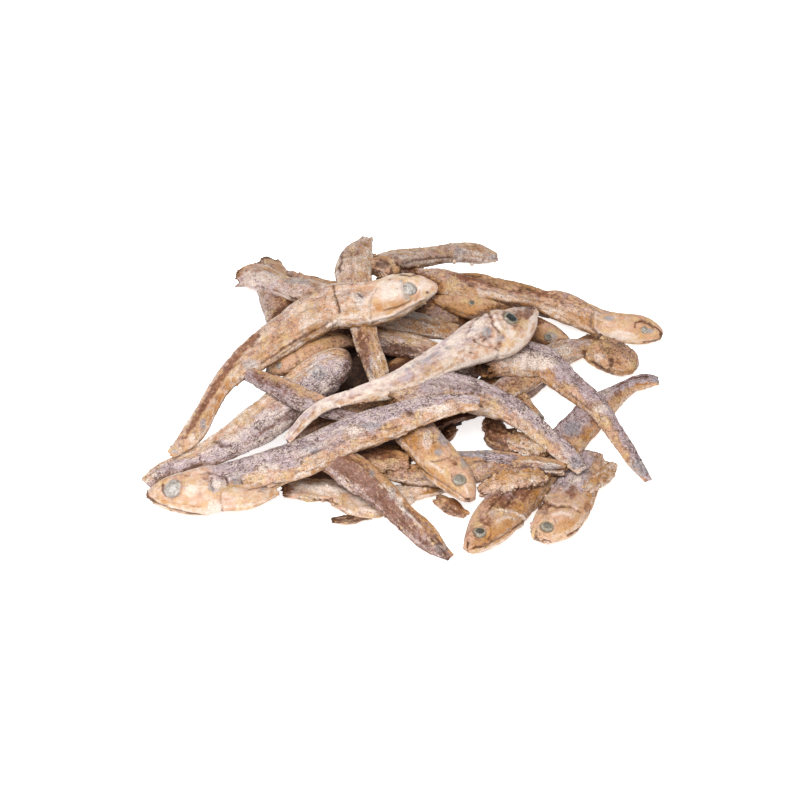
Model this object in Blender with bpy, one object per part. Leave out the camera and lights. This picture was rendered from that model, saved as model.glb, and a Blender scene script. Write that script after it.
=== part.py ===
"""Dried anchovies: a loose heap of small dried fish, some whole, some headless or broken.

Each fish is written down as it is seen in the photo, and is then laid: it comes down the line
of sight until it rests on the fish already there or on the ground. All of them are joined to
a low core as one solid.
"""
import math

import bpy
import bmesh
import numpy as np

# Driving dimensions, in millimetres where they are lengths
MM = 0.001
GROUND_GAP = 0.25              # the lowest fish skin stays this far above the base
STATION_GAP = 5.5              # spacing of the cross sections along a fish
LARGE_DEPTH = 8.0              # a fish deeper than this has more sides
SIDES_LARGE = 10
SIDES_SMALL = 8
BODY_THICKNESS = 0.64          # thickness over depth at the first end
TAIL_THICKNESS = 0.42          # thickness over depth at the tail
PLUMPNESS = 2.4                # how square an oval section is, where 2 is an ellipse
SHRIVEL = 0.05                 # uneven drying, as a share of a section's size
TEAR = 1.3                     # how far a broken end is jagged
SEED = 7

CORE_CENTRE = (-7.8, 3.5)
CORE_RADIUS = 23.0
CORE_HEIGHT = 8.0
CORE_SIDES = 18
CORE_RINGS = 4

# How a fish is laid
SINK = 1.3                     # how far a fish presses into the one it rests on
CONTACT_SHARE = 0.8            # the middle share of its seen width that a fish rests on
LAY_GAP = 1.4                  # spacing of the places along a fish where rest is looked for
STEEPEST = 0.38                # the most a fish may rise over its length
TILT_DISLIKE = 1.5             # how much higher a fish may lie so as to be less tilted
DROOP = 0.3                    # how far a dried fish sags into the space beneath it
CELL = 2.0                     # pixels of the photo to one cell of the record of the heap
CURVE_STEPS = 12               # steps between two points of a route
TILTS = 121                    # slopes that are tried when a fish is laid
DOME_LIFTS = 60                # rings at which the core's dome is recorded
DOME_TURNS = 240               # places in each of those rings

# Where the photo was taken from
EYE_ELEVATION = math.radians(36.0)
EYE_DISTANCE = 600.0
HALF_VIEW = math.radians(8.7)
LOOK_AT = np.array([-2.8, -13.5, 11.0])
PHOTO_MIDDLE = 400.0           # pixels from the photo's edges to its middle

RIGHT = np.array([1.0, 0.0, 0.0])
FORWARD = np.array([0.0, math.cos(EYE_ELEVATION), -math.sin(EYE_ELEVATION)])
UPWARD = np.cross(RIGHT, FORWARD)
EYE = LOOK_AT - EYE_DISTANCE * FORWARD
PIXELS_PER_SLOPE = PHOTO_MIDDLE / math.tan(HALF_VIEW)
PIXEL_SIZE = EYE_DISTANCE / PIXELS_PER_SLOPE

FLESH_COLOUR = (0.52, 0.38, 0.27, 1.0)
FLESH_ROUGHNESS = 0.62

# The fish in the order they are laid, the lowest first. Each has its lean, which is how far in
# degrees its upper flank tips to the front, what its first end is, and its route to the tail.
# A route point is where it is seen, in pixels right and down, and the depth in millimetres.
FISH = {
    "rest_far": (15, "break", [(252, 272, 2.5), (285, 283, 5.5), (345, 292, 4)]),
    "rest_back_left": (15, "break", [
        (270, 300, 4), (320, 300, 6.5), (370, 300, 7), (425, 296, 3.5)]),
    "rest_back_low": (15, "break", [
        (290, 318, 5), (340, 320, 8), (400, 322, 7), (440, 318, 4)]),
    "rest_back_right": (15, "break", [
        (408, 294, 5), (460, 288, 7), (500, 293, 7), (545, 304, 6), (605, 326, 4)]),
    "rest_cavity": (15, "break", [
        (415, 309, 5), (445, 312, 8), (470, 320, 8), (500, 338, 5)]),
    "rest_right": (15, "break", [(461, 342, 6), (513, 335, 7), (548, 326, 4)]),
    "rest_left_low": (15, "break", [
        (262, 415, 4), (290, 395, 8), (318, 372, 8), (335, 350, 5)]),
    "rest_mid_low": (15, "break", [
        (330, 430, 4), (370, 418, 8), (420, 405, 7), (450, 398, 4)]),
    "rest_front": (15, "break", [
        (296, 478, 4), (335, 470, 7), (380, 462, 7), (415, 450, 4)]),
    "rest_right_low": (15, "break", [
        (465, 400, 5), (500, 392, 8), (530, 380, 6.5), (556, 362, 4)]),
    "brown_shard": (10, "break", [(440, 501, 2.5), (452, 507, 4), (467, 516, 2)]),
    "front_spur": (0, "break", [(338, 520, 1.5), (350, 519, 2.5), (368, 512, 4)]),
    "front_split": (0, "break", [
        (288, 486, 4.5), (310, 485, 7.2), (335, 488, 7), (360, 497, 8.3), (385, 496, 7.3),
        (415, 487, 5.2), (446, 482, 3.6)]),
    "left_under": (10, "break", [
        (268, 268, 6.5), (277, 290, 9), (289, 322, 9.5), (302, 350, 8.5), (314, 374, 6)]),
    "rest_left": (15, "break", [(270, 402, 3), (290, 390, 5.5), (315, 375, 6), (338, 368, 4)]),
    "left_shadow": (10, "head", [
        (268, 373, 2), (280, 364, 5.5), (300, 356, 6.5), (325, 345, 5.5), (350, 338, 3.5)]),
    "rest_back_high": (15, "break", [
        (292, 290, 4), (340, 299, 7), (400, 300, 7), (425, 298, 4)]),
    "torn_lump": (10, "break", [
        (498, 402, 4), (493, 420, 5), (499, 436, 7.5), (524, 446, 6)]),
    "tan_shard": (20, "break", [
        (538, 416, 1.5), (527, 408, 3.5), (516, 398, 5), (500, 388, 5), (478, 382, 4)]),
    "brown_band": (10, "break", [(425, 429, 3), (450, 419, 2.4), (475, 413, 2.2), (492, 410, 2.2)]),
    "olive_shard": (10, "break", [(438, 443, 1.5), (447, 436, 3), (455, 428, 2)]),
    "centre_small": (20, "break", [
        (384, 374, 2.5), (398, 366, 3.5), (418, 356, 4), (440, 346, 3.5)]),
    "right_lump": (10, "break", [
        (634, 370, 4.5), (623, 363, 7.5), (604, 353, 8), (589, 344, 6), (580, 339, 4)]),
    "right_whole": (15, "head", [
        (468, 550, 2.5), (476, 542, 5.8), (489, 528, 9.1), (506, 508, 10), (529, 484, 9.6),
        (555, 457, 8.6), (578, 428, 8.2), (604, 403, 6), (628, 387, 3.5), (645, 381, 3.5),
        (660, 380, 2)]),
    "rest_back_mid": (15, "break", [(370, 322, 6), (391, 286, 7), (418, 258, 5)]),
    "back_tail": (20, "break", [
        (378, 266, 5), (400, 260, 5.5), (430, 256, 4.5), (460, 252, 4.7), (482, 254, 4.5),
        (498, 257, 2)]),
    "back_crumb": (20, "break", [(369, 266, 3.5), (384, 267, 6.5), (400, 274, 5)]),
    "front_stub": (12, "head", [
        (535, 538, 2), (543, 532, 6.3), (557, 521, 9.9), (568, 505, 9.9), (578, 485, 9.1),
        (587, 466, 7.6), (592, 452, 5.2)]),
    "stub_flap": (10, "break", [(586, 486, 4), (600, 473, 5), (615, 462, 1.5)]),
    "centre_yellow": (20, "break", [
        (366, 312, 4.5), (385, 318, 5.5), (410, 323, 5.5), (435, 328, 5), (460, 334, 4)]),
    "centre_speckled": (20, "break", [
        (360, 336, 5.5), (380, 341, 6), (405, 345, 6), (430, 352, 5.5), (455, 362, 4),
        (480, 376, 3)]),
    "shaded_head": (20, "head", [
        (434, 298, 2.5), (450, 302, 4.5), (472, 308, 6), (498, 316, 6), (520, 322, 4.5)]),
    "right_head": (20, "head", [
        (572, 346, 1.5), (564, 343, 4), (548, 336, 6), (528, 327, 6), (505, 318, 4)]),
    "back_sliver": (20, "break", [(292, 274, 1.5), (316, 284, 3), (340, 288, 3), (372, 285, 2.5)]),
    "left_back": (20, "break", [
        (241, 278, 3.8), (256, 276, 6), (284, 287, 5.5), (310, 292, 6), (335, 302, 5),
        (362, 312, 4)]),
    "right_pink": (20, "break", [
        (587, 347, 3.3), (569, 351, 5.6), (547, 362, 7), (524, 379, 6), (500, 393, 5),
        (478, 404, 3.5)]),
    "left_mid": (25, "break", [
        (351, 366, 6), (345, 366, 8), (330, 369, 9.5), (306, 385, 10), (284, 406, 10),
        (261, 423, 9.5), (240, 437, 8), (213, 452, 6.5), (188, 463, 5), (164, 472, 4.8),
        (146, 484, 3.4)]),
    "rest_centre": (15, "break", [(400, 402, 4), (440, 392, 5), (480, 398, 4.5), (512, 410, 3)]),
    "under_strip": (25, "break", [
        (430, 398, 5.5), (395, 404, 6), (360, 412, 5.5), (330, 423, 4.5), (305, 433, 3.5),
        (286, 441, 2)]),
    "left_strip": (25, "break", [
        (242, 371, 3), (262, 380, 4), (285, 391, 5), (310, 402, 5), (340, 412, 4), (368, 418, 3)]),
    "front_band": (20, "break", [
        (558, 468, 3), (545, 466, 4), (520, 465, 4.5), (495, 466, 5.5), (470, 469, 7),
        (440, 474, 6), (405, 474, 4.5), (380, 470, 3)]),
    "front_crumb": (10, "break", [
        (486, 489, 3), (504, 482, 5), (530, 478, 5), (545, 474, 3.5)]),
    "mid_crumb": (10, "break", [(515, 440, 3.5), (535, 446, 5), (550, 452, 4)]),
    "back_right": (28, "head", [
        (662, 336, 2), (654, 333, 4.7), (640, 330, 6.8), (620, 328, 6.8), (600, 323, 6.2),
        (583, 316, 6.6), (560, 306, 7), (540, 301, 5), (520, 298, 3.3), (500, 295, 2.8),
        (480, 289, 4.3), (460, 286, 5.3), (440, 282, 6), (415, 279, 5)]),
    "rest_front_high": (15, "break", [(345, 452, 4), (375, 460, 6), (412, 462, 5)]),
    "grey_wedge": (10, "break", [(458, 455, 1.5), (488, 457, 3), (522, 460, 3)]),
    "front_tail": (15, "break", [
        (330, 460, 5.5), (352, 470, 8), (377, 489, 7), (400, 513, 6), (419, 530, 6),
        (432, 543, 5), (451, 558, 2)]),
    "back_stem": (20, "break", [
        (366, 241, 2.5), (358, 256, 7.5), (354, 272, 8.5), (357, 300, 7), (365, 335, 6),
        (375, 365, 5.5), (384, 392, 4)]),
    "right_bent": (25, "break", [
        (486, 369, 4.5), (500, 362, 7.5), (520, 360, 9), (545, 364, 7.6), (567, 383, 6.6),
        (589, 400, 5.5), (602, 414, 5), (614, 431, 4.2), (627, 450, 3.7), (638, 467, 3.2),
        (649, 481, 1.8)]),
    "front_head": (12, "head", [
        (470, 500, 2.5), (466, 492, 5), (458, 481, 7.5), (441, 463, 9), (421, 438, 9),
        (405, 420, 8.5), (393, 400, 7), (384, 384, 5.5)]),
    "right_mid": (25, "break", [
        (392, 396, 4.5), (415, 393, 8), (445, 391, 9), (475, 397, 8), (510, 410, 6.5),
        (539, 432, 5), (562, 451, 5), (583, 471, 3)]),
    "front_long": (30, "head", [
        (147, 494, 1.5), (158, 494, 5.5), (175, 493, 8.5), (205, 491, 11), (240, 480, 9.5),
        (300, 459, 8.5), (360, 432, 8.5), (420, 412, 6.5), (450, 405, 5), (468, 403, 4),
        (480, 404, 3)]),
    "belly_flap": (20, "break", [(222, 499, 5.6), (249, 496, 5.8), (278, 490, 2.4)]),
    "top_left": (30, "head", [
        (437, 288, 2), (426, 289, 5.5), (408, 292, 9), (385, 301, 10), (360, 306, 10.5),
        (335, 306, 10.5), (312, 317, 10), (290, 331, 9.5), (261, 351, 8.5), (239, 367, 6.5),
        (220, 387, 5), (206, 412, 4.9), (191, 436, 5), (170, 455, 2.2)]),
    "pale_top": (38, "head", [
        (536, 311, 2), (530, 314, 4.2), (523, 320, 7.3), (511, 329, 10.3), (498, 334, 11.3),
        (474, 343, 9.8),
        (445, 358, 7.5), (413, 376, 6.5), (383, 389, 5.5), (352, 397, 3.5), (325, 405, 3),
        (307, 418, 3), (286, 441, 2)]),
}


def clear_scene():
    for item in list(bpy.data.objects):
        bpy.data.objects.remove(item, do_unlink=True)


def flesh_material():
    material = bpy.data.materials.new("dried_flesh")
    material.use_nodes = True
    shader = material.node_tree.nodes["Principled BSDF"]
    shader.inputs["Base Color"].default_value = FLESH_COLOUR
    shader.inputs["Roughness"].default_value = FLESH_ROUGHNESS
    shader.inputs["Metallic"].default_value = 0.0
    return material


def sight_points(seen, heights):
    """The places at these heights that are seen at these pixels of the photo."""
    rays = (FORWARD + (seen[:, 0] - PHOTO_MIDDLE)[:, None] / PIXELS_PER_SLOPE * RIGHT
            + (PHOTO_MIDDLE - seen[:, 1])[:, None] / PIXELS_PER_SLOPE * UPWARD)
    return EYE + rays * ((heights - EYE[2]) / rays[:, 2])[:, None]


def travelled_along(centres):
    """The distance from the first of a row of places to each of them."""
    return np.concatenate([[0], np.cumsum(np.linalg.norm(np.diff(centres, axis=0), axis=1))])


def evenly_spaced(values, travelled, gap):
    """The same rows at even distances along the route."""
    count = max(4, round(travelled[-1] / gap)) + 1
    stations = np.linspace(0, travelled[-1], count)
    columns = [np.interp(stations, travelled, column) for column in values.T]
    return np.stack(columns, axis=1)


def smooth_route(points):
    """A smooth curve through the route points as seen, with the depth along it."""
    knots = np.array(points, float)
    padded = np.vstack([2 * knots[0] - knots[1], knots, 2 * knots[-1] - knots[-2]])
    fine = []
    for index in range(len(knots) - 1):
        before, start, end, after = padded[index:index + 4]
        for step in np.linspace(0, 1, CURVE_STEPS, endpoint=False):
            fine.append(0.5 * (2 * start + (end - before) * step
                               + (2 * before - 5 * start + 4 * end - after) * step ** 2
                               + (3 * start - before - 3 * end + after) * step ** 3))
    fine.append(knots[-1])
    fine = np.array(fine)
    return evenly_spaced(fine, travelled_along(sight_points(fine, np.zeros(len(fine)))), LAY_GAP)


def section_axes(centres, lean):
    """At each place, the directions along the fish, across it to its back and out of its flank."""
    along = np.gradient(centres, axis=0)
    along /= np.linalg.norm(along, axis=1)[:, None]
    tipped = np.array([0.0, -math.sin(math.radians(lean)), math.cos(math.radians(lean))])
    flank = tipped - (along @ tipped)[:, None] * along
    flank /= np.linalg.norm(flank, axis=1)[:, None]
    return along, np.cross(along, flank), flank


def flatness_along(count):
    """Thickness over depth, which falls from the first end to the tail."""
    return np.linspace(BODY_THICKNESS, TAIL_THICKNESS, count)


def seen_sections(centres, lean):
    """How the sections look down the line of sight, for a seen half-width of one.

    Gives the seen direction across the fish, the true half-depth, how much the middle of the
    section rises across it, its half-thickness measured in height, and its lowest point.
    """
    along, back, flank = section_axes(centres, lean)
    flank = flank * flatness_along(len(centres))[:, None]
    across = np.cross(along, FORWARD)
    across /= np.linalg.norm(across, axis=1)[:, None]
    lengthways = np.cross(FORWARD, across)
    slide = along / np.sum(along * lengthways, axis=1)[:, None]
    back_rise = (back - slide * np.sum(back * lengthways, axis=1)[:, None])[:, 2]
    flank_rise = (flank - slide * np.sum(flank * lengthways, axis=1)[:, None])[:, 2]
    back_width = np.sum(back * across, axis=1)
    flank_width = np.sum(flank * across, axis=1)
    width = np.hypot(back_width, flank_width)
    rise = (back_width * back_rise + flank_width * flank_rise) / width ** 2
    bulge = abs(back_width * flank_rise - flank_width * back_rise) / width ** 2
    drop = np.hypot(back[:, 2], flank[:, 2]) / width
    return across, 1 / width, rise, bulge, drop


def cells_around(place, half_width, heap):
    """The cells of the record of the heap that a section covers, and where they lie on it."""
    reach = half_width / CELL
    first_row, last_row = int(place[1] / CELL - reach), int(place[1] / CELL + reach) + 2
    first_column, last_column = int(place[0] / CELL - reach), int(place[0] / CELL + reach) + 2
    rows, columns = np.mgrid[first_row:last_row, first_column:last_column]
    right = (columns * CELL - place[0]) * PIXEL_SIZE
    up = (place[1] - rows * CELL) * PIXEL_SIZE
    share = np.hypot(right, up) / (half_width * PIXEL_SIZE)
    return heap[first_row:last_row, first_column:last_column], right, up, share


def record_core(heap):
    """Records the core, so that the fish over it rest on it."""
    for lift in np.linspace(0, math.pi / 2, DOME_LIFTS):
        turns = np.linspace(0, 2 * math.pi, DOME_TURNS)
        radius = CORE_RADIUS * math.cos(lift)
        places = np.column_stack([CORE_CENTRE[0] + radius * np.cos(turns),
                                  CORE_CENTRE[1] + radius * np.sin(turns),
                                  np.full(len(turns), CORE_HEIGHT * math.sin(lift))])
        rays = places - EYE
        slopes = PIXELS_PER_SLOPE / (rays @ FORWARD)
        columns = np.round((PHOTO_MIDDLE + rays @ RIGHT * slopes) / CELL).astype(int)
        rows = np.round((PHOTO_MIDDLE - rays @ UPWARD * slopes) / CELL).astype(int)
        np.maximum.at(heap, (rows, columns), places[:, 2])


def lay_fish(points, lean, heap):
    """Lays one fish on the heap, records it there, and returns its places and depths."""
    route = smooth_route(points)
    count = len(route)
    flat = sight_points(route, np.zeros(count))
    travelled = travelled_along(flat)
    across, _, rise, bulge, drop = seen_sections(flat, lean)
    half_depths = route[:, 2] / 2
    half_pixels = half_depths / PIXEL_SIZE
    side_right = across @ RIGHT
    side_up = across @ UPWARD

    needed = drop * half_depths + GROUND_GAP
    for index in range(count):
        below, right, up, share = cells_around(route[index], half_pixels[index], heap)
        offset = right * side_right[index] + up * side_up[index]
        inside = (share < CONTACT_SHARE) & (below > 0)
        if inside.any():
            rounding = bulge[index] * half_depths[index] * np.sqrt(1 - share[inside] ** 2)
            rest = below[inside] - rise[index] * offset[inside] + rounding - SINK
            needed[index] = max(needed[index], rest.max())

    tilts = np.linspace(-STEEPEST, STEEPEST, TILTS)
    lines = tilts[:, None] * (travelled - travelled[-1] / 2)
    lifts = (needed - lines).max(axis=1)
    lowest = np.argmin(lifts + TILT_DISLIKE * abs(tilts))
    heights = lifts[lowest] + lines[lowest]
    bend = np.polyval(np.polyfit(travelled, heights - needed, 2), travelled)
    heights -= DROOP * np.maximum(bend, 0)
    heights = np.maximum(heights, drop * half_depths + GROUND_GAP)

    for index in range(count):
        below, right, up, share = cells_around(route[index], half_pixels[index], heap)
        offset = right * side_right[index] + up * side_up[index]
        rounding = bulge[index] * half_depths[index] * np.sqrt(np.clip(1 - share ** 2, 0, 1))
        top = heights[index] + rise[index] * offset + rounding
        below[share < 1] = np.maximum(below, top)[share < 1]

    places = sight_points(route, heights)
    farness = (places - EYE) @ FORWARD / EYE_DISTANCE
    true_half = seen_sections(places, lean)[1]
    depths = route[:, 2] * farness * true_half
    rows = np.column_stack([places, depths])
    return evenly_spaced(rows, travelled_along(places), STATION_GAP) * MM


def fish_body(name, stations, lean, first_end, draw):
    """A closed tube of oval sections, tapered, flattened to the tail and a little shrivelled."""
    centres = stations[:, :3]
    depths = stations[:, 3]
    along, back, flank = section_axes(centres, lean)
    count = len(stations)
    flatness = flatness_along(count)
    sides = SIDES_LARGE if depths.max() > LARGE_DEPTH * MM else SIDES_SMALL
    mesh = bmesh.new()
    rings = []
    for index in range(count):
        ring = []
        for side in range(sides):
            angle = 2 * math.pi * (side + 0.5) / sides
            cosine = math.cos(angle)
            sine = math.sin(angle)
            fullness = (abs(cosine) ** PLUMPNESS + abs(sine) ** PLUMPNESS) ** (-1 / PLUMPNESS)
            size = 0.5 * depths[index] * fullness * (1 + draw.uniform(-SHRIVEL, SHRIVEL))
            place = (centres[index] + back[index] * size * cosine
                     + flank[index] * size * flatness[index] * sine)
            if index == 0 and first_end == "break":
                place -= along[0] * draw.uniform(0, TEAR) * MM
            place[2] = max(place[2], GROUND_GAP * MM)
            ring.append(mesh.verts.new(place))
        rings.append(ring)
    for lower, upper in zip(rings, rings[1:]):
        for side in range(sides):
            after = (side + 1) % sides
            mesh.faces.new((lower[side], lower[after], upper[after], upper[side]))
    mesh.faces.new(rings[0][::-1])
    mesh.faces.new(rings[-1])
    return finished_object(name, mesh)


def core_body():
    """A low mound with a flat base, which the heap rests on."""
    mesh = bmesh.new()
    lower = None
    for step in range(CORE_RINGS + 1):
        lift = math.pi / 2 * step / (CORE_RINGS + 1)
        radius = CORE_RADIUS * math.cos(lift) * MM
        ring = []
        for side in range(CORE_SIDES):
            angle = 2 * math.pi * side / CORE_SIDES
            ring.append(mesh.verts.new((CORE_CENTRE[0] * MM + radius * math.cos(angle),
                                        CORE_CENTRE[1] * MM + radius * math.sin(angle),
                                        CORE_HEIGHT * math.sin(lift) * MM)))
        if lower is None:
            mesh.faces.new(ring[::-1])
        else:
            for side in range(CORE_SIDES):
                after = (side + 1) % CORE_SIDES
                mesh.faces.new((lower[side], lower[after], ring[after], ring[side]))
        lower = ring
    mesh.faces.new(lower)
    return finished_object("core", mesh)


def finished_object(name, mesh):
    bmesh.ops.triangulate(mesh, faces=mesh.faces)
    bmesh.ops.recalc_face_normals(mesh, faces=mesh.faces)
    data = bpy.data.meshes.new(name)
    mesh.to_mesh(data)
    mesh.free()
    return bpy.data.objects.new(name, data)


def keep_outer_skin(data):
    """Keeps the largest closed skin, so that sealed hollows are filled and loose scraps dropped."""
    mesh = bmesh.new()
    mesh.from_mesh(data)
    unseen = set(mesh.faces)
    skins = []
    while unseen:
        waiting = [unseen.pop()]
        skin = []
        while waiting:
            face = waiting.pop()
            skin.append(face)
            for edge in face.edges:
                for neighbour in edge.link_faces:
                    if neighbour in unseen:
                        unseen.remove(neighbour)
                        waiting.append(neighbour)
        skins.append(skin)
    skins.sort(key=len, reverse=True)
    for skin in skins[1:]:
        bmesh.ops.delete(mesh, geom=skin, context="FACES")
    bmesh.ops.triangulate(mesh, faces=mesh.faces)
    mesh.to_mesh(data)
    mesh.free()


def build_heap():
    draw = np.random.default_rng(SEED)
    cells = int(2 * PHOTO_MIDDLE / CELL)
    heap = np.zeros((cells, cells))
    record_core(heap)
    pieces = bpy.data.collections.new("pieces")
    bpy.context.scene.collection.children.link(pieces)
    for name, (lean, first_end, points) in FISH.items():
        stations = lay_fish(points, lean, heap)
        pieces.objects.link(fish_body(name, stations, lean, first_end, draw))
    joined = core_body()
    joined.name = "dried_anchovies"
    bpy.context.scene.collection.objects.link(joined)
    union = joined.modifiers.new("join", "BOOLEAN")
    union.operation = "UNION"
    union.operand_type = "COLLECTION"
    union.collection = pieces
    union.solver = "EXACT"
    bpy.context.view_layer.update()
    result = joined.evaluated_get(bpy.context.evaluated_depsgraph_get())
    joined_mesh = bpy.data.meshes.new_from_object(result)
    joined.modifiers.remove(union)
    joined.data = joined_mesh
    for piece in list(pieces.objects):
        bpy.data.objects.remove(piece, do_unlink=True)
    bpy.data.collections.remove(pieces)
    keep_outer_skin(joined.data)
    joined.data.materials.clear()
    joined.data.materials.append(flesh_material())


clear_scene()
build_heap()
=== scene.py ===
"""Dried anchovies: a loose heap of small dried fish, whole, headless and broken, on a pale table.

The sections follow the heap as it is put together, from the core to the fish on top. Each fish
is laid as in the solid model: it comes down the line of sight until it rests on what is there.
"""
import itertools
import math
from types import SimpleNamespace

import bpy
import numpy as np
from mathutils import Matrix, Vector


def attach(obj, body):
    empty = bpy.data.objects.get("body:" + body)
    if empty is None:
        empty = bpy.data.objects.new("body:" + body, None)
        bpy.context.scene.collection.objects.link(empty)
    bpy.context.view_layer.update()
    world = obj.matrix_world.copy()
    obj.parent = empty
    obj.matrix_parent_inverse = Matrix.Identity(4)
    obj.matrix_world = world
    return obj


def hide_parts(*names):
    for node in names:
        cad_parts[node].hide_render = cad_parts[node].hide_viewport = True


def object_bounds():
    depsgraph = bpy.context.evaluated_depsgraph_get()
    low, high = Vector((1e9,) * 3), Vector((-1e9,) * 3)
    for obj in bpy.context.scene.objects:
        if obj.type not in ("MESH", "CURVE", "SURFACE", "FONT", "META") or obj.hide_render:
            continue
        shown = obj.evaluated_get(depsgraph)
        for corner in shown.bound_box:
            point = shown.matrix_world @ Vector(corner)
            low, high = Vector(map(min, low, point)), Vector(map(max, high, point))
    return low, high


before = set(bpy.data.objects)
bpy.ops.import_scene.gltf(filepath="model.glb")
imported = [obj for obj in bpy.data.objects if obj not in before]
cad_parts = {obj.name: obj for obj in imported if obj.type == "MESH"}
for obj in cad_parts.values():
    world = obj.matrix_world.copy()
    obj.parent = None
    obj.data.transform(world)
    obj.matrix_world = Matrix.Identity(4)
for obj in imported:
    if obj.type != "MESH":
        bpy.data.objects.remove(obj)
cad_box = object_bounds()

# The camera
# It stands where the photo was taken from, straight in front and well above the heap. Its place
# is also what the fish are laid by, since each one's route is written down as the photo shows it.
MM = 0.001
EYE_ELEVATION = math.radians(36.0)
EYE_DISTANCE = 600.0
HALF_VIEW = math.radians(8.7)
LOOK_AT = np.array([-2.8, -13.5, 11.0])
PHOTO_MIDDLE = 400.0
SENSOR = 36.0

RIGHT = np.array([1.0, 0.0, 0.0])
FORWARD = np.array([0.0, math.cos(EYE_ELEVATION), -math.sin(EYE_ELEVATION)])
UPWARD = np.cross(RIGHT, FORWARD)
EYE = LOOK_AT - EYE_DISTANCE * FORWARD
PIXELS_PER_SLOPE = PHOTO_MIDDLE / math.tan(HALF_VIEW)
PIXEL_SIZE = EYE_DISTANCE / PIXELS_PER_SLOPE

camera = bpy.data.objects.new("camera", bpy.data.cameras.new("camera"))
camera.data.sensor_width = SENSOR
camera.data.lens = SENSOR / 2 / math.tan(HALF_VIEW)
camera.data.clip_end = 10.0
camera.location = EYE * MM
camera.rotation_euler = (math.pi / 2 - EYE_ELEVATION, 0.0, 0.0)
bpy.context.scene.collection.objects.link(camera)
bpy.context.scene.camera = camera


def seen_at(places):
    """Where places in millimetres are seen in the photo, in pixels right and down."""
    rays = places - EYE
    slopes = PIXELS_PER_SLOPE / (rays @ FORWARD)
    return np.stack([PHOTO_MIDDLE + rays @ RIGHT * slopes,
                     PHOTO_MIDDLE - rays @ UPWARD * slopes], axis=-1)


def sight_points(seen, heights):
    """The places at these heights that are seen at these pixels of the photo."""
    rays = (FORWARD + (seen[:, 0] - PHOTO_MIDDLE)[:, None] / PIXELS_PER_SLOPE * RIGHT
            + (PHOTO_MIDDLE - seen[:, 1])[:, None] / PIXELS_PER_SLOPE * UPWARD)
    return EYE + rays * ((heights - EYE[2]) / rays[:, 2])[:, None]


# The core
# The hidden middle of the heap is a low mound of crushed fish, crumbs and dust. It is rough and
# matt, and shows only between the fish; its near-black brown is painted shade for the gaps. It
# fills the core of the solid model.
CORE_CENTRE = (-7.8, 3.5)
CORE_RADIUS = 23.0
CORE_HEIGHT = 8.0
CORE_RINGS = 60
CORE_SIDES = 220
CORE_ROUGHNESS = 1.6           # how deep the hollows between its crumbs are
CRUMB_SIZE = 2.2
CELL = 2.0                     # pixels of the photo to one cell of the record of the heap
DOME_LIFTS = 60                # rings at which the core's dome is recorded
DOME_TURNS = 240               # places in each of those rings
LATTICE = np.random.default_rng(11).uniform(-1, 1, (32, 32, 32))

FINE_CRUMBS = 2.3              # how many times finer the smaller crumbs are

# The core's colours are darkened as painted shade for the gaps between the fish
SHADED_DUST = (0.034, 0.013, 0.006, 1)
SHADED_CRUMBS = (0.150, 0.066, 0.028, 1)

# How a stored value is named in a mesh, by how many numbers it has
VALUE_KINDS = {1: ("FLOAT", "value"), 3: ("FLOAT_VECTOR", "vector"), 4: ("FLOAT_COLOR", "color")}


def noise(places):
    """Smooth noise between about -1 and 1, with one hill or hollow to a unit."""
    cell = np.floor(places).astype(int)
    part = places - cell
    ease = part * part * (3 - 2 * part)
    total = np.zeros(places.shape[:-1])
    for corner in np.ndindex(2, 2, 2):
        at = (cell + corner) % len(LATTICE)
        share = np.prod(np.where(corner, ease, 1 - ease), axis=-1)
        total += share * LATTICE[at[..., 0], at[..., 1], at[..., 2]]
    return total


def smooth_step(value, low, high):
    """Rises smoothly from 0 at low to 1 at high."""
    part = np.clip((value - low) / (high - low), 0, 1)
    return part * part * (3 - 2 * part)


def turned_in(points):
    """Whether a tube's quads would face inward."""
    middle = len(points) // 2
    ring, after = points[middle], points[middle + 1]
    normal = np.cross(np.roll(ring, -1, axis=0) - ring, after - ring)
    return np.sum(normal * (ring - ring.mean(axis=0))) < 0


def closed_tube(points):
    """The faces of a tube of rings that is closed at both ends, all facing outward."""
    rows, sides = points.shape[:2]
    ring = np.arange(sides)
    after = (ring + 1) % sides
    starts = np.arange(rows - 1)[:, None] * sides
    quads = np.stack([starts + ring, starts + after, starts + sides + after,
                      starts + sides + ring], axis=-1)
    faces = quads.reshape(-1, 4).tolist()
    faces += [list(range(sides))[::-1], list(range((rows - 1) * sides, rows * sides))]
    return [face[::-1] for face in faces] if turned_in(points) else faces


def store(data, values):
    """Stores values on the points of a mesh, under a name for each kind."""
    for label, rows in values.items():
        kind, field = VALUE_KINDS[rows.shape[1]]
        layer = data.attributes.get(label) or data.attributes.new(label, kind, "POINT")
        layer.data.foreach_set(field, np.ascontiguousarray(rows, dtype=np.float32).ravel())


def mesh_object(name, points, faces, values):
    """A smooth mesh object from points in millimetres, with values stored on its points."""
    data = bpy.data.meshes.new(name)
    data.from_pydata((points * MM).tolist(), [], faces)
    store(data, values)
    data.shade_smooth()
    made = bpy.data.objects.new(name, data)
    bpy.context.scene.collection.objects.link(made)
    return made


def joined(name, parts):
    """One mesh object from several parts, each with its points, faces and stored values."""
    faces = []
    first = 0
    for points, part_faces, _ in parts:
        faces += [[first + corner for corner in face] for face in part_faces]
        first += len(points)
    values = {label: np.concatenate([part[2][label] for part in parts]) for label in parts[0][2]}
    return mesh_object(name, np.concatenate([part[0] for part in parts]), faces, values)


def place_in_heap(piece, material):
    """Gives a finished piece its material, and puts it in the place of the solid heap."""
    piece.data.materials.append(material)
    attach(piece, "root")
    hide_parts("dried_anchovies")


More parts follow.
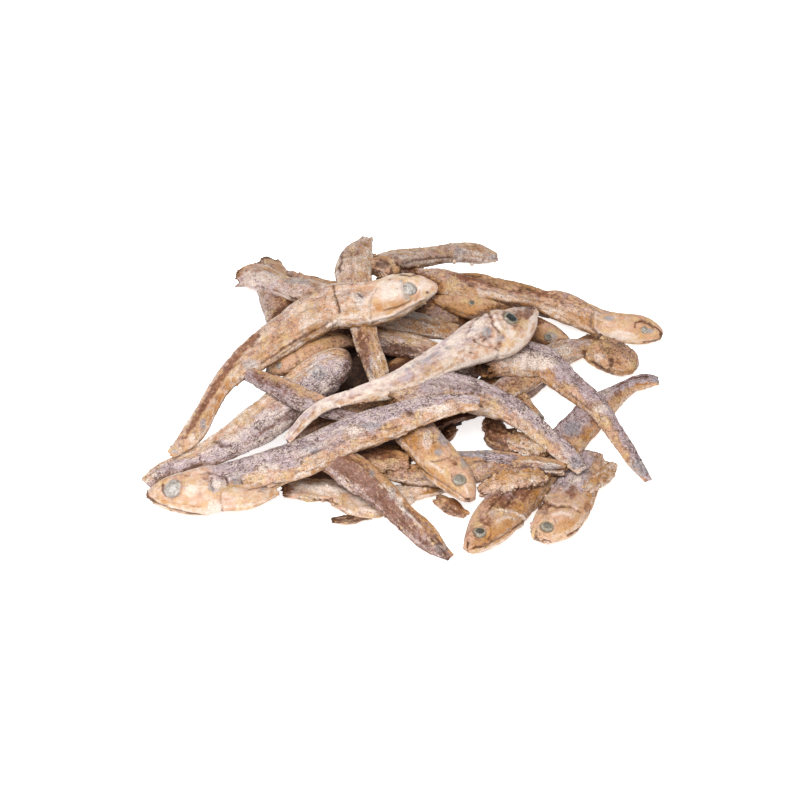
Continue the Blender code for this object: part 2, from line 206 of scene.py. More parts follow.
class Nodes:
    """The nodes of a tree, added and joined a few at a time."""

    def __init__(self, tree):
        self.tree = tree

    def add(self, kind, inputs=(), **settings):
        node = self.tree.nodes.new(kind)
        for setting, value in settings.items():
            setattr(node, setting, value)
        for socket, value in dict(inputs).items():
            if isinstance(value, bpy.types.NodeSocket):
                self.tree.links.new(value, node.inputs[socket])
            else:
                node.inputs[socket].default_value = value
        return node


class Material(Nodes):
    """A new material, with the sums and noises that its colours are mixed from."""

    def __init__(self, name):
        self.material = bpy.data.materials.new(name)
        self.material.use_nodes = True
        super().__init__(self.material.node_tree)
        self.shader = self.tree.nodes["Principled BSDF"]

    def place(self):
        return self.add("ShaderNodeTexCoord").outputs["Object"]

    def stored(self, label, socket):
        """The values that are stored on the mesh under this name."""
        return self.add("ShaderNodeAttribute", attribute_name=label).outputs[socket]

    def blend(self, share, first, second, kind="MIX"):
        """One colour laid over another by a share."""
        node = self.add("ShaderNodeMix", {0: share, 6: first, 7: second},
                        data_type="RGBA", blend_type=kind)
        return node.outputs[2]

    def sum(self, operation, first, second=0.0):
        return self.add("ShaderNodeMath", {0: first, 1: second}, operation=operation).outputs[0]

    def plus(self, first, second):
        return self.sum("ADD", first, second)

    def times(self, first, second):
        return self.sum("MULTIPLY", first, second)

    def away(self, value, middle):
        """How far a value is from a middle one, to either side."""
        return self.sum("ABSOLUTE", self.sum("SUBTRACT", value, middle))

    def step(self, value, low, high, start=0.0, end=1.0):
        """The value spread from low and high to start and end, and kept between them."""
        inputs = {0: value, 1: low, 2: high, 3: start, 4: end}
        return self.add("ShaderNodeMapRange", inputs, clamp=True).outputs[0]

    def grain(self, place, size, detail=3.0, roughness=0.55):
        """Noise with hills this many metres, or this share of a unit, apart."""
        inputs = {"Vector": place, "Scale": 1 / size, "Detail": detail, "Roughness": roughness}
        return self.add("ShaderNodeTexNoise", inputs).outputs["Fac"]

    def stretched(self, place, lengthways, across, detail, roughness):
        """Noise with this many hills to a unit along the fish, and across it."""
        inputs = {"Vector": place, "Scale": (lengthways, across, across)}
        drawn_out = self.add("ShaderNodeMapping", inputs).outputs[0]
        return self.grain(drawn_out, 1.0, detail, roughness)

    def bumps(self, height, distance, strength=1.0, under=None):
        inputs = {"Height": height, "Distance": distance, "Strength": strength}
        if under is not None:
            inputs["Normal"] = under
        return self.add("ShaderNodeBump", inputs).outputs[0]

    def join(self, socket, value):
        self.tree.links.new(value, self.shader.inputs[socket])


def crushed_fish():
    """Dark brown dust with paler crumbs on the high spots, both darkened as painted shade."""
    nodes = Material("crushed_fish")
    place = nodes.place()
    lumps = nodes.grain(place, 0.0016)
    grit = nodes.grain(place, 0.0004)
    colour = nodes.blend(nodes.step(lumps, 0.45, 0.75), SHADED_DUST, SHADED_CRUMBS)
    colour = nodes.blend(nodes.step(grit, 0.35, 0.65, 0.5, 0.0), colour, SHADED_DUST)
    nodes.join("Base Color", colour)
    nodes.shader.inputs["Roughness"].default_value = 0.85
    nodes.join("Normal", nodes.bumps(nodes.plus(lumps, grit), 0.0006))
    return nodes.material


def core_points():
    """A mound of rings, crumbled inward from the core's smooth dome."""
    lifts = np.linspace(0, math.pi / 2, CORE_RINGS, endpoint=False)
    turns = np.linspace(0, 2 * math.pi, CORE_SIDES, endpoint=False)
    lift, turn = np.meshgrid(lifts, turns, indexing="ij")
    dome = np.stack([np.cos(lift) * np.cos(turn) * CORE_RADIUS,
                     np.cos(lift) * np.sin(turn) * CORE_RADIUS,
                     np.sin(lift) * CORE_HEIGHT], axis=-1)
    crumbs = abs(noise(dome / CRUMB_SIZE)) + 0.5 * abs(noise(dome / CRUMB_SIZE * FINE_CRUMBS + 9))
    hollow = CORE_ROUGHNESS * np.clip(crumbs, 0, 1)
    dome[..., :2] *= (1 - hollow / CORE_RADIUS)[..., None]
    dome[..., 2] *= 1 - hollow / CORE_HEIGHT
    dome[..., :2] += CORE_CENTRE
    return dome


rings = core_points()
core = mesh_object("heap_core", rings.reshape(-1, 3), closed_tube(rings), {})
place_in_heap(core, crushed_fish())

# How high the heap is, cell by cell of the photo
heap = np.zeros((int(2 * PHOTO_MIDDLE / CELL), int(2 * PHOTO_MIDDLE / CELL)))


def record_core():
    """Records the core's height, so that the fish over it rest on it."""
    for lift in np.linspace(0, math.pi / 2, DOME_LIFTS):
        turns = np.linspace(0, 2 * math.pi, DOME_TURNS)
        radius = CORE_RADIUS * math.cos(lift)
        places = np.column_stack([CORE_CENTRE[0] + radius * np.cos(turns),
                                  CORE_CENTRE[1] + radius * np.sin(turns),
                                  np.full(len(turns), CORE_HEIGHT * math.sin(lift))])
        cells = np.round(seen_at(places) / CELL).astype(int)
        np.maximum.at(heap, (cells[:, 1], cells[:, 0]), places[:, 2])


record_core()

# The buried fish
# Headless and broken fish that fill the heap and show only in its gaps and from behind, with
# painted shade laid into their colour. A fish is a tube of oval sections under dried skin, which
# has shrunk into furrows along the body.
GROUND_GAP = 0.25              # the lowest fish skin stays this far above the table
BODY_THICKNESS = 0.64          # thickness over depth at the first end
TAIL_THICKNESS = 0.42          # thickness over depth at the tail
PLUMPNESS = 2.4                # how square an oval section is, where 2 is an ellipse
TEAR = 1.9                     # how far a broken end is jagged
SINK = 1.3                     # how far a fish presses into the one it rests on
CONTACT_SHARE = 0.8            # the middle share of its seen width that a fish rests on
LAY_GAP = 1.4                  # spacing of the places along a fish where rest is looked for
STEEPEST = 0.38                # the most a fish may rise over its length
TILT_DISLIKE = 1.5             # how much higher a fish may lie so as to be less tilted
DROOP = 0.3                    # how far a dried fish sags into the space beneath it
CURVE_STEPS = 12               # steps between two points of a route
TILTS = 121                    # slopes that are tried when a fish is laid

HEAD_GAP = 0.26                # spacing of the rings of a fish that shows its head
HEAD_SIDES = 104
SMALL_HEAD_SIDES = 56
BODY_GAP = 0.42                # and of a headless one on top
BODY_SIDES = 68
SKIN_GAP = 0.5                 # and of one that shows less
SKIN_SIDES = 60
BURIED_GAP = 0.9
BURIED_SIDES = 30
# the painted shade laid into the colour of the buried fish
BURIED_SHADE = 0.25
HEAD_LENGTH = 20.0             # from the snout to behind the gills of a full-grown fish
FURROW = 0.030                 # depth of the furrows over the depth of the body
FURROW_EDGE = 3.2              # how narrow the furrows are
SMALL_FURROW = 0.6             # depth of the small furrows over that of the large ones
SMALL_FURROW_EDGE = 4.0
LUMP = 0.028                   # height of the lumps over the depth of the body
SUNKEN = 0.050                 # how far the flank has sunk between its ridges
SUNKEN_PLACE = 0.46            # where it has sunk, over the half-width
SUNKEN_WIDTH = 0.20
SUNKEN_DRIFT = 9.0             # over what length it is now deeper, now shallower
RIDGE_WIDTH = 0.16
WRINKLE = 0.10                 # height of the fine wrinkles
CRUST = 0.065                  # height of the finest crust
ROUND_REACH = 2.6              # how far back from its end a closed round end starts to narrow
ROUND_NARROWING = 0.9
THIN_DROP = 0.4                # how far a torn flat piece comes down, over the thickness it lacks
TAIL_REACH = 5.0               # how far from its end a tail starts to flatten to a fin
FIN_THICKNESS = 0.55           # thickness at the very end over that of the tail
BELLY_NARROWING = 0.22         # how much thinner the belly edge is than the back
HEAD_FADE = 7.0                # how long the skin takes to change from head to body
HOLLOW_END = 4.4               # a broken end deeper than this is open and dark inside
HOLLOW_STEPS = ((0.86, 0.5), (0.62, 1.1), (0.3, 1.5))    # ring size, and millimetres inward
CLOSED_STEPS = ((0.7, -0.15), (0.35, -0.25))
END_ROUGHNESS = 0.35           # how uneven a closed or hollow end is, over its depth
# painted shade in an open end, darker towards its bottom
HOLLOW_SHADE = 0.45             # how dark a hollow is at its edge; twice that at its bottom
FULL_END = 6.0                 # an end less deep than this has shorter steps
TAIL_TEAR = 0.7                # how far a tail is jagged
FRAY_START = 1.4               # edges of a skin crustier than this are frayed
FRAY = 0.45
FRAY_MOST = 0.55               # the most of the half-width that is torn off
SKIN_SHIFT = 17.3              # how far apart two fish are in the noise
EDGE_SHIFT = 7.7               # and in the noise that frays their edges
WOBBLE = 1.3                   # pixels by which the edge of a mark wanders

GILL_PLATE = 0.38              # how far a gill cover stands out along its edge
GILL_GROOVE = 0.30
GILL_SHADE = 0.55
# the raised edge of a gill cover is paled as a painted highlight
GILL_HIGHLIGHT = 0.35
GILL_EDGE = 2.0                # pixels of pale edge on the cover
GROOVE_WIDTH = 2.2             # pixels

SOCKET_DEPTH = 0.20            # depth of an eye socket over the radius of the eye
LID_HEIGHT = 0.05              # height of the lid around it
SOCKET_TILT = 0.35             # how much an eye follows the skin, and not the flank as a whole
HIDDEN = 1000                  # more pixels than any place is from another

# Noises on the skin: how far apart their hills are along and around the fish, and where they start
SKIN_NOISES = (("furrows", 8, 1.9, 0), ("small_furrows", 3.6, 1.3, 5), ("lumps", 5.5, 2.4, 11),
               ("wrinkles", 1.5, 0.9, 23), ("crust", 0.7, 0.5, 31), ("blotch", 5, 2.2, 41),
               ("mottle", 1.3, 0.9, 47))

# What a mark does to the skin: how far it stands out, and how dark, pale, warm, grey and
# red-brown it is. The darkness of a sunk crease is painted shade, and the paleness of a raised
# ridge a painted highlight.
MARKS = {
    "shaded_crease": (-0.30, 0.60, 0.0, 0.0, 0.0, 0.2),
    "line": (-0.12, 0.90, 0.0, 0.0, 0.0, 0.0),
    "lit_ridge": (0.30, 0.0, 0.45, 0.0, 0.0, -0.4),
    "warm_lit_ridge": (0.25, 0.0, 0.10, 0.6, 0.0, -0.3),
    "dark": (-0.05, 0.85, 0.0, 0.0, 0.0, 0.3),
    "brown": (-0.03, 0.20, 0.0, 0.20, 0.0, 0.55),
    "red": (-0.03, 0.0, -0.2, 0.15, 0.0, 0.75),
    "pale": (0.05, -0.3, 0.6, 0.0, 0.0, -0.5),
    "warm": (0.0, 0.0, 0.0, 0.65, 0.0, 0.0),
    "grey": (-0.04, 0.0, 0.0, 0.0, 0.7, 0.0),
}

CREAM = (0.55, 0.365, 0.185, 1)
LILAC = (0.465, 0.362, 0.378, 1)
PINK = (0.53, 0.305, 0.200, 1)
MAUVE = (0.215, 0.085, 0.050, 1)
OCHRE = (0.44, 0.220, 0.076, 1)
ORANGE = (0.42, 0.175, 0.040, 1)
# whitish: the pale bloom of the skin together with painted sheen and highlight
BLOOM_AND_SHEEN = (0.685, 0.565, 0.485, 1)
BLUE_GREY = (0.25, 0.25, 0.275, 1)
STAIN = (0.195, 0.068, 0.030, 1)
CREASE_BROWN = (0.082, 0.028, 0.009, 1)
TORN_BROWN = (0.20, 0.078, 0.022, 1)
TORN_DARK = (0.032, 0.011, 0.005, 1)
SPECK = (0.064, 0.029, 0.024, 1)


def travelled_along(centres):
    """The distance from the first of a row of places to each of them."""
    return np.concatenate([[0], np.cumsum(np.linalg.norm(np.diff(centres, axis=0), axis=1))])


def evenly_spaced(values, travelled, gap):
    """The same rows at even distances along the route."""
    count = max(4, round(travelled[-1] / gap)) + 1
    stations = np.linspace(0, travelled[-1], count)
    columns = [np.interp(stations, travelled, column) for column in values.T]
    return np.stack(columns, axis=1)


def smooth_route(points):
    """A smooth curve through the route points as seen, with the depth along it."""
    knots = np.array(points, float)
    padded = np.vstack([2 * knots[0] - knots[1], knots, 2 * knots[-1] - knots[-2]])
    fine = []
    for index in range(len(knots) - 1):
        before, start, end, after = padded[index:index + 4]
        for step in np.linspace(0, 1, CURVE_STEPS, endpoint=False):
            fine.append(0.5 * (2 * start + (end - before) * step
                               + (2 * before - 5 * start + 4 * end - after) * step ** 2
                               + (3 * start - before - 3 * end + after) * step ** 3))
    fine.append(knots[-1])
    fine = np.array(fine)
    return evenly_spaced(fine, travelled_along(sight_points(fine, np.zeros(len(fine)))), LAY_GAP)


def section_axes(centres, lean):
    """At each place, the directions along the fish, across it to one edge and out of its flank."""
    along = np.gradient(centres, axis=0)
    along /= np.linalg.norm(along, axis=1)[:, None]
    tipped = np.array([0.0, -math.sin(math.radians(lean)), math.cos(math.radians(lean))])
    flank = tipped - (along @ tipped)[:, None] * along
    flank /= np.linalg.norm(flank, axis=1)[:, None]
    return along, np.cross(along, flank), flank


def flatness_along(count):
    """Thickness over depth, which falls from the first end to the tail."""
    return np.linspace(BODY_THICKNESS, TAIL_THICKNESS, count)


def seen_sections(centres, lean):
    """How the sections look down the line of sight, for a seen half-width of one.

    Gives the seen direction across the fish, the true half-depth, how much the middle of the
    section rises across it, its half-thickness measured in height, and its lowest point.
    """
    along, edge, flank = section_axes(centres, lean)
    flank = flank * flatness_along(len(centres))[:, None]
    across = np.cross(along, FORWARD)
    across /= np.linalg.norm(across, axis=1)[:, None]
    lengthways = np.cross(FORWARD, across)
    slide = along / np.sum(along * lengthways, axis=1)[:, None]
    edge_rise = (edge - slide * np.sum(edge * lengthways, axis=1)[:, None])[:, 2]
    flank_rise = (flank - slide * np.sum(flank * lengthways, axis=1)[:, None])[:, 2]
    edge_width = np.sum(edge * across, axis=1)
    flank_width = np.sum(flank * across, axis=1)
    width = np.hypot(edge_width, flank_width)
    rise = (edge_width * edge_rise + flank_width * flank_rise) / width ** 2
    bulge = abs(edge_width * flank_rise - flank_width * edge_rise) / width ** 2
    drop = np.hypot(edge[:, 2], flank[:, 2]) / width
    return across, 1 / width, rise, bulge, drop


def cells_around(place, half_width, side):
    """The record of the heap under a section, with how far across it each cell lies.

    The last value is how far from the middle a cell is, over the seen half-width.
    """
    reach = half_width / CELL
    first_row, last_row = int(place[1] / CELL - reach), int(place[1] / CELL + reach) + 2
    first_column, last_column = int(place[0] / CELL - reach), int(place[0] / CELL + reach) + 2
    rows, columns = np.mgrid[first_row:last_row, first_column:last_column]
    right = (columns * CELL - place[0]) * PIXEL_SIZE
    up = (place[1] - rows * CELL) * PIXEL_SIZE
    share = np.hypot(right, up) / (half_width * PIXEL_SIZE)
    below = heap[first_row:last_row, first_column:last_column]
    return below, right * side[0] + up * side[1], share


def resting_heights(travelled, needed):
    """A line over all the needed heights that is low and fairly level, and sags where it can."""
    tilts = np.linspace(-STEEPEST, STEEPEST, TILTS)
    lines = tilts[:, None] * (travelled - travelled[-1] / 2)
    lifts = (needed - lines).max(axis=1)
    best = np.argmin(lifts + TILT_DISLIKE * abs(tilts))
    heights = lifts[best] + lines[best]
    bend = np.polyval(np.polyfit(travelled, heights - needed, 2), travelled)
    return heights - DROOP * np.maximum(bend, 0)


def lay_fish(points, lean):
    """Lays one fish on the heap, records it there, and returns its places and depths."""
    route = smooth_route(points)
    flat = sight_points(route, np.zeros(len(route)))
    across, _, rise, bulge, drop = seen_sections(flat, lean)
    half_depths = route[:, 2] / 2
    bulge = bulge * half_depths
    lowest = drop * half_depths + GROUND_GAP
    sides = np.stack([across @ RIGHT, across @ UPWARD], axis=1)
    sections = [cells_around(place, half / PIXEL_SIZE, side)
                for place, half, side in zip(route, half_depths, sides)]

    needed = lowest.copy()
    for index, (below, offset, share) in enumerate(sections):
        inside = (share < CONTACT_SHARE) & (below > 0)
        if inside.any():
            rounding = bulge[index] * np.sqrt(1 - share[inside] ** 2)
            rest = below[inside] - rise[index] * offset[inside] + rounding - SINK
            needed[index] = max(needed[index], rest.max())
    heights = np.maximum(resting_heights(travelled_along(flat), needed), lowest)

    for index, (below, offset, share) in enumerate(sections):
        rounding = bulge[index] * np.sqrt(np.clip(1 - share ** 2, 0, 1))
        top = heights[index] + rise[index] * offset + rounding
        below[share < 1] = np.maximum(below, top)[share < 1]

    places = sight_points(route, heights)
    farness = (places - EYE) @ FORWARD / EYE_DISTANCE
    depths = route[:, 2] * farness * seen_sections(places, lean)[1]
    return np.column_stack([places, depths])


def fine_stations(laid, gap):
    """The laid places and depths at a fine spacing, with their corners rounded off."""
    fine = evenly_spaced(laid, travelled_along(laid[:, :3]), gap)
    spread = max(1, round(LAY_GAP / gap))
    weights = np.hanning(2 * spread + 3)[1:-1]
    weights /= weights.sum()
    padded = np.pad(fine, ((spread, spread), (0, 0)), mode="reflect", reflect_type="odd")
    return np.stack([np.convolve(column, weights, mode="valid") for column in padded.T], axis=1)


def grid_normals(grid, centres):
    """The outward directions of a tube's points."""
    lengthways = np.gradient(grid, axis=0)
    around = np.roll(grid, -1, axis=1) - np.roll(grid, 1, axis=1)
    normals = np.cross(lengthways, around)
    normals /= np.linalg.norm(normals, axis=-1, keepdims=True) + 1e-9
    outward = np.sum(normals * (grid - centres[:, None]), axis=-1)
    return normals * np.where(outward.mean() < 0, -1, 1)


def line_distance(seen, line):
    """How far each seen place is from a drawn line, and on which side of it, in pixels."""
    nearest = np.full(seen.shape[:-1], np.inf)
    side = np.zeros(seen.shape[:-1])
    for start, end in zip(line, line[1:]):
        start, end = np.array(start, float), np.array(end, float)
        run = end - start
        part = np.clip((seen - start) @ run / (run @ run), 0, 1)
        offset = seen - start - part[..., None] * run
        distance = np.linalg.norm(offset, axis=-1)
        turned = np.sign(run[0] * offset[..., 1] - run[1] * offset[..., 0])
        side = np.where(distance < nearest, turned, side)
        nearest = np.minimum(distance, nearest)
    return nearest, side


def marked(seen, marks):
    """How far marks raise the skin, and how dark, pale, warm, grey and red-brown they make it.

    A mark is its kind, its width in pixels, and the points of a line, or of one spot that has
    the two half-widths after its place.
    """
    effect = np.zeros(seen.shape[:-1] + (6,))
    for kind, width, shape in marks:
        if kind == "gill":
            distance, side = line_distance(seen, shape)
            plate = np.exp(-distance / width) * (side > 0)
            behind = np.exp(-distance / GROOVE_WIDTH) * (side <= 0)
            effect[..., 0] += GILL_PLATE * plate - GILL_GROOVE * behind
            # painted shade in the groove behind the cover, and a painted highlight along its raised edge
            effect[..., 1] += GILL_SHADE * behind
            effect[..., 2] += GILL_HIGHLIGHT * np.exp(-distance / GILL_EDGE) * (side > 0)
            continue
        if len(shape) == 4 and not isinstance(shape[0], tuple):
            offset = (seen - shape[:2]) / shape[2:]
            distance = np.linalg.norm(offset, axis=-1) * width
            share = 1 - smooth_step(distance / width, 0.55, 1.25)
        else:
            distance = line_distance(seen, shape)[0]
            share = np.exp(-(distance / width) ** 2)
        effect += share[..., None] * MARKS[kind]
    return effect


def body_rows(laid, start, gap, thin):
    """Where the rings of a fish lie and how deep they are, twice as far apart behind a head."""
    rows = fine_stations(laid, gap)
    if start == "head":
        head_rows = round(HEAD_LENGTH / gap)
        rows = np.concatenate([rows[:head_rows], rows[head_rows::2]])
    if start == "round":
        reach = np.clip(travelled_along(rows[:, :3]) / ROUND_REACH, 0, 1)
        rows[:, 3] *= np.sqrt(1 - ROUND_NARROWING * (1 - reach) ** 2)
    if thin < 1:
        rows[:, 2] -= (1 - thin) * THIN_DROP * BODY_THICKNESS * rows[:, 3]
    return rows


def frayed(number, travelled, cosine, crusty):
    """The share of the width that is torn off the two edges of a crusty piece."""
    fray = np.clip(FRAY * (crusty - FRAY_START), 0, FRAY_MOST) * abs(cosine) ** 2
    edges = np.stack(np.broadcast_arrays(travelled[:, None], 9 * np.sign(cosine),
                                         number * EDGE_SHIFT), -1)
    torn_edge = 0.5 + 0.6 * noise(edges / (2.3, 1, 1)) + 0.5 * noise(edges / (0.9, 1, 1) + 4)
    return fray * np.clip(torn_edge, 0, 1)


def smooth_body(number, rows, lean, start, side, sides, crusty, thin):
    """A fish as a smooth tube, before its skin has dried, with all that the next steps need."""
    centres, depths = rows[:, :3], rows[:, 3]
    travelled = travelled_along(centres)
    from_end = travelled[-1] - travelled
    along, edge, flank = section_axes(centres, lean)
    fin = FIN_THICKNESS + (1 - FIN_THICKNESS) * smooth_step(from_end, 0, TAIL_REACH)
    flatness = flatness_along(len(rows)) * fin

    angles = 2 * math.pi * (np.arange(sides) + 0.5) / sides
    cosine, sine = np.cos(angles), np.sin(angles)
    fullness = (abs(cosine) ** PLUMPNESS + abs(sine) ** PLUMPNESS) ** (-1 / PLUMPNESS)
    belly = 1 - BELLY_NARROWING * np.clip(-side * cosine, 0, 1) ** 2
    half = depths[:, None] / 2
    width = half * fullness * cosine * (1 - frayed(number, travelled, cosine, crusty))
    thick = thin * half * flatness[:, None] * fullness * sine * belly
    grid = (centres[:, None] + edge[:, None] * width[..., None]
            + flank[:, None] * thick[..., None])
    normals = grid_normals(grid, centres)
    head = 0 * travelled
    if start == "head":
        head = 1 - smooth_step(travelled, HEAD_LENGTH - HEAD_FADE, HEAD_LENGTH)
    return SimpleNamespace(
        grid=grid, normals=normals, depths=depths, along=along, flank=flank, sides=sides,
        travelled=travelled, from_end=from_end, cosine=cosine, sine=sine, start=start,
        head=np.broadcast_to(head[:, None], width.shape), shift=number * SKIN_SHIFT,
        back=side * width / half, shown=np.sum(normals * (EYE - grid), axis=-1) > 0,
        skin=np.stack([np.broadcast_to(travelled[:, None], width.shape), width, thick], axis=-1))


def dried_folds(skin, shift):
    """The furrows, lumps, wrinkles, crust and blotches of dried skin, out of noise along it."""
    folds = SimpleNamespace()
    for name, lengthways, around, start in SKIN_NOISES:
        setattr(folds, name, noise(skin / (lengthways, around, around) + shift + start))
    folds.valley = np.clip(1 - abs(folds.furrows) * FURROW_EDGE, 0, 1) ** 2
    folds.small_valley = np.clip(1 - abs(folds.small_furrows) * SMALL_FURROW_EDGE, 0, 1) ** 2
    folds.wrinkles = 1 - 2 * abs(folds.wrinkles)
    return folds


def dried_relief(body, folds, crusty):
    """How far the dried skin stands out of the smooth body, less on a head and near the tail."""
    level = 0 * body.travelled
    drift = np.stack([body.travelled / SUNKEN_DRIFT, level, level + body.shift], axis=-1)
    upper = 0.6 + 0.6 * noise(drift)[:, None]
    lower = 0.6 + 0.6 * noise(drift + 3)[:, None]
    sunken = (upper * np.exp(-((body.cosine - SUNKEN_PLACE) / SUNKEN_WIDTH) ** 2)
              + lower * np.exp(-((body.cosine + SUNKEN_PLACE) / SUNKEN_WIDTH) ** 2)
              - 0.5 * np.exp(-(body.cosine / RIDGE_WIDTH) ** 2))
    calm = (1 - 0.7 * body.head) * (0.35 + 0.65 * smooth_step(body.from_end, 0, 6))[:, None]
    size = body.depths[:, None]
    relief = calm * (-FURROW * size * folds.valley
                     - SMALL_FURROW * FURROW * size * folds.small_valley
                     + LUMP * size * folds.lumps - SUNKEN * size * sunken)
    relief += crusty * (WRINKLE * folds.wrinkles + CRUST * folds.crust) * (0.3 + 0.7 * calm)
    return relief


def marks_on(body, marks):
    """What the marks do to a fish. A hidden point takes those of the shown one across from it."""
    seen = seen_at(body.grid)
    hidden = ~body.shown & body.shown[:, ::-1]
    seen = np.where(hidden[..., None], seen[:, ::-1], seen)
    wobble = np.stack([noise(body.skin / 1.1 + body.shift + 60),
                       noise(body.skin / 1.1 + body.shift + 70)], axis=-1)
    effect = marked(seen + WOBBLE * wobble * (1 - 0.6 * body.head)[..., None], marks)
    effect[..., 3] *= 1 - 0.40 * body.head
    return effect


def sink_eyes(body, eye, relief, effect):
    """Sinks a socket into both sides of a head, and gives the places of the two eyes.

    eye is where it is seen, its radius in pixels, and from 0 for cloudy to 3 for dark.
    """
    right, down, radius, style = eye
    radius = radius * PIXEL_SIZE
    miss = np.linalg.norm(seen_at(body.grid) - (right, down), axis=-1) + HIDDEN * ~body.shown
    row, column = np.unravel_index(np.argmin(miss), miss.shape)
    eyes = []
    for place in (column, body.sides - 1 - column):
        middle = body.grid[row, place]
        facing = body.flank[row] * np.sign(body.sine[place])
        around = body.normals[max(0, row - 3):row + 4, place].mean(axis=0)
        outward = SOCKET_TILT * around + (1 - SOCKET_TILT) * facing
        away = np.linalg.norm(body.grid - middle, axis=-1) / radius
        socket = 1 - smooth_step(away, 0.7, 1.15)
        lid = np.exp(-((away - 1.25) / 0.16) ** 2)
        relief -= SOCKET_DEPTH * radius * socket - LID_HEIGHT * radius * lid
        # a ring of painted shade where the skin dips into the socket
        effect[..., 1] += (0.20 + 0.12 * style) * np.exp(-((away - 1.02) / 0.10) ** 2)
        eyes.append((middle, outward / np.linalg.norm(outward), body.along[row], radius, style))
    return eyes


def torn_grid(body, relief):
    """The fish with its broken ends jagged and its skin raised by the relief."""
    around = np.stack([body.cosine * 3.6, body.sine * 3.6, 0 * body.sine + body.shift], -1)
    jag = np.clip(0.55 + 0.75 * noise(around), 0, 1)
    along = body.along[:, None]
    grid = body.grid
    if body.start == "break":
        grid = grid - along * (TEAR * jag * np.exp(-body.travelled[:, None] / 1.2))[..., None]
    grid = grid + along * (TAIL_TEAR * (jag - 1) * np.exp(-body.from_end[:, None] / 1.5))[..., None]
    return grid + body.normals * relief[..., None]


def hollow(body, end):
    """Whether this end of a fish is open and dark inside."""
    return (body.start == "break" or end == -1) and body.depths[end] > HOLLOW_END


def torn_share(body, folds, crusty):
    """How far the skin is torn open, which it is at the broken ends."""
    at_start = 1.0 if hollow(body, 0) else 0.45 * (body.start == "break")
    at_end = 1.0 if hollow(body, -1) else 0.12 * crusty
    nearness = np.exp(-body.travelled / 1.3) * at_start + np.exp(-body.from_end / 0.9) * at_end
    nearness = np.broadcast_to(nearness[:, None], body.head.shape)
    return smooth_step(nearness + 0.35 * folds.crust + 0.2 * folds.lumps, 0.35, 0.9)


def skin_shares(body, folds, look, effect, buried_shade):
    """What is stored on the skin.

    skin is the place along and around the fish, marks the shares of dirt with painted shade, pale
    bloom with painted highlight and sheen, warmth and blue-grey, form how much it is back, torn
    and speckled, and stain how red-brown it is.
    """
    lilac, warm, pale, speckled, crusty, stained = look
    head, back = body.head, body.back
    lumps, blotch, mottle, wrinkles = folds.lumps, folds.blotch, folds.mottle, folds.wrinkles
    width = abs(body.cosine)
    # a painted highlight along the edges of the flank
    rim = smooth_step(width, 0.70, 0.88) * smooth_step(width, 0.985, 0.93)
    # the very edges are brown and darkened further as painted shade
    edge_brown_and_shade = smooth_step(width, 0.94, 1.0) * (0.30 + 0.30 * mottle)

    tone = smooth_step(back + 0.45 * blotch + 0.25 * mottle, -0.80, 0.40) * (1 - 0.8 * head)
    tone = np.clip(lilac * (0.05 + tone), 0, 1)
    warmth = warm * (0.30 - 0.45 * back + 0.30 * blotch + 0.25 * mottle - 0.12 * head)
    # pale bloom, with painted highlight on the wrinkles, lumps and rim
    bloom_and_sheen = pale * (0.30 + 0.35 * wrinkles + 0.25 * lumps - 0.25 * mottle) + 0.28 * rim
    # painted shade in the furrows, lighter on the wrinkles, plus the painted shade of buried fish
    dirt_and_shade = crusty * (0.15 * folds.valley + 0.28 * folds.small_valley
                     - 0.25 * wrinkles * (1 - 0.7 * head)) + edge_brown_and_shade + buried_shade
    stain = stained * (0.45 + 0.35 * back - 0.45 * lumps + 0.45 * blotch - 0.5 * rim)
    stain = np.clip(stain * (1 - 0.5 * head) + effect[..., 5], 0, 1)
    specks = np.clip(speckled * (0.40 + 0.70 * back + 0.5 * blotch), 0, 1) * (1 - head)
    specks = specks - (0.35 + 0.75 * pale) * head + min(0, speckled)

    shares = np.stack([dirt_and_shade, bloom_and_sheen, warmth, 0 * dirt_and_shade], axis=-1).clip(0, 1)
    shares = shares * (1 - 0.5 * effect[..., 2:3].clip(0, 1))
    return {"skin": body.skin + body.shift,
            "marks": np.clip(shares + effect[..., 1:5], 0, 1),
            "form": np.stack([tone, torn_share(body, folds, crusty), specks], axis=-1),
            "stain": stain[..., None]}


def closing_rings(body, grid, values, end, inward):
    """The rings that close an end, from its edge on: a hollow with painted shade where torn, or a cap.
    """
    steps = HOLLOW_STEPS if hollow(body, end) else CLOSED_STEPS
    values = {label: np.repeat(rows[end][None], len(steps), axis=0)
              for label, rows in values.items()}
    middle = grid[end].mean(axis=0)
    rings = []
    for shrink, depth in steps:
        depth = depth * min(1, body.depths[end] / FULL_END)
        ring = middle + (grid[end] - middle) * shrink + inward * depth
        ring += inward * (END_ROUGHNESS * depth * noise(ring * 1.7 + body.shift))[:, None]
        rings.append(ring)
    # a torn end darkens towards its bottom: painted shade
    if hollow(body, end):
        values["form"][..., 1] = 1
        values["marks"][..., 0] = HOLLOW_SHADE * np.linspace(1, 2, len(steps))[:, None]
    return np.array(rings), values


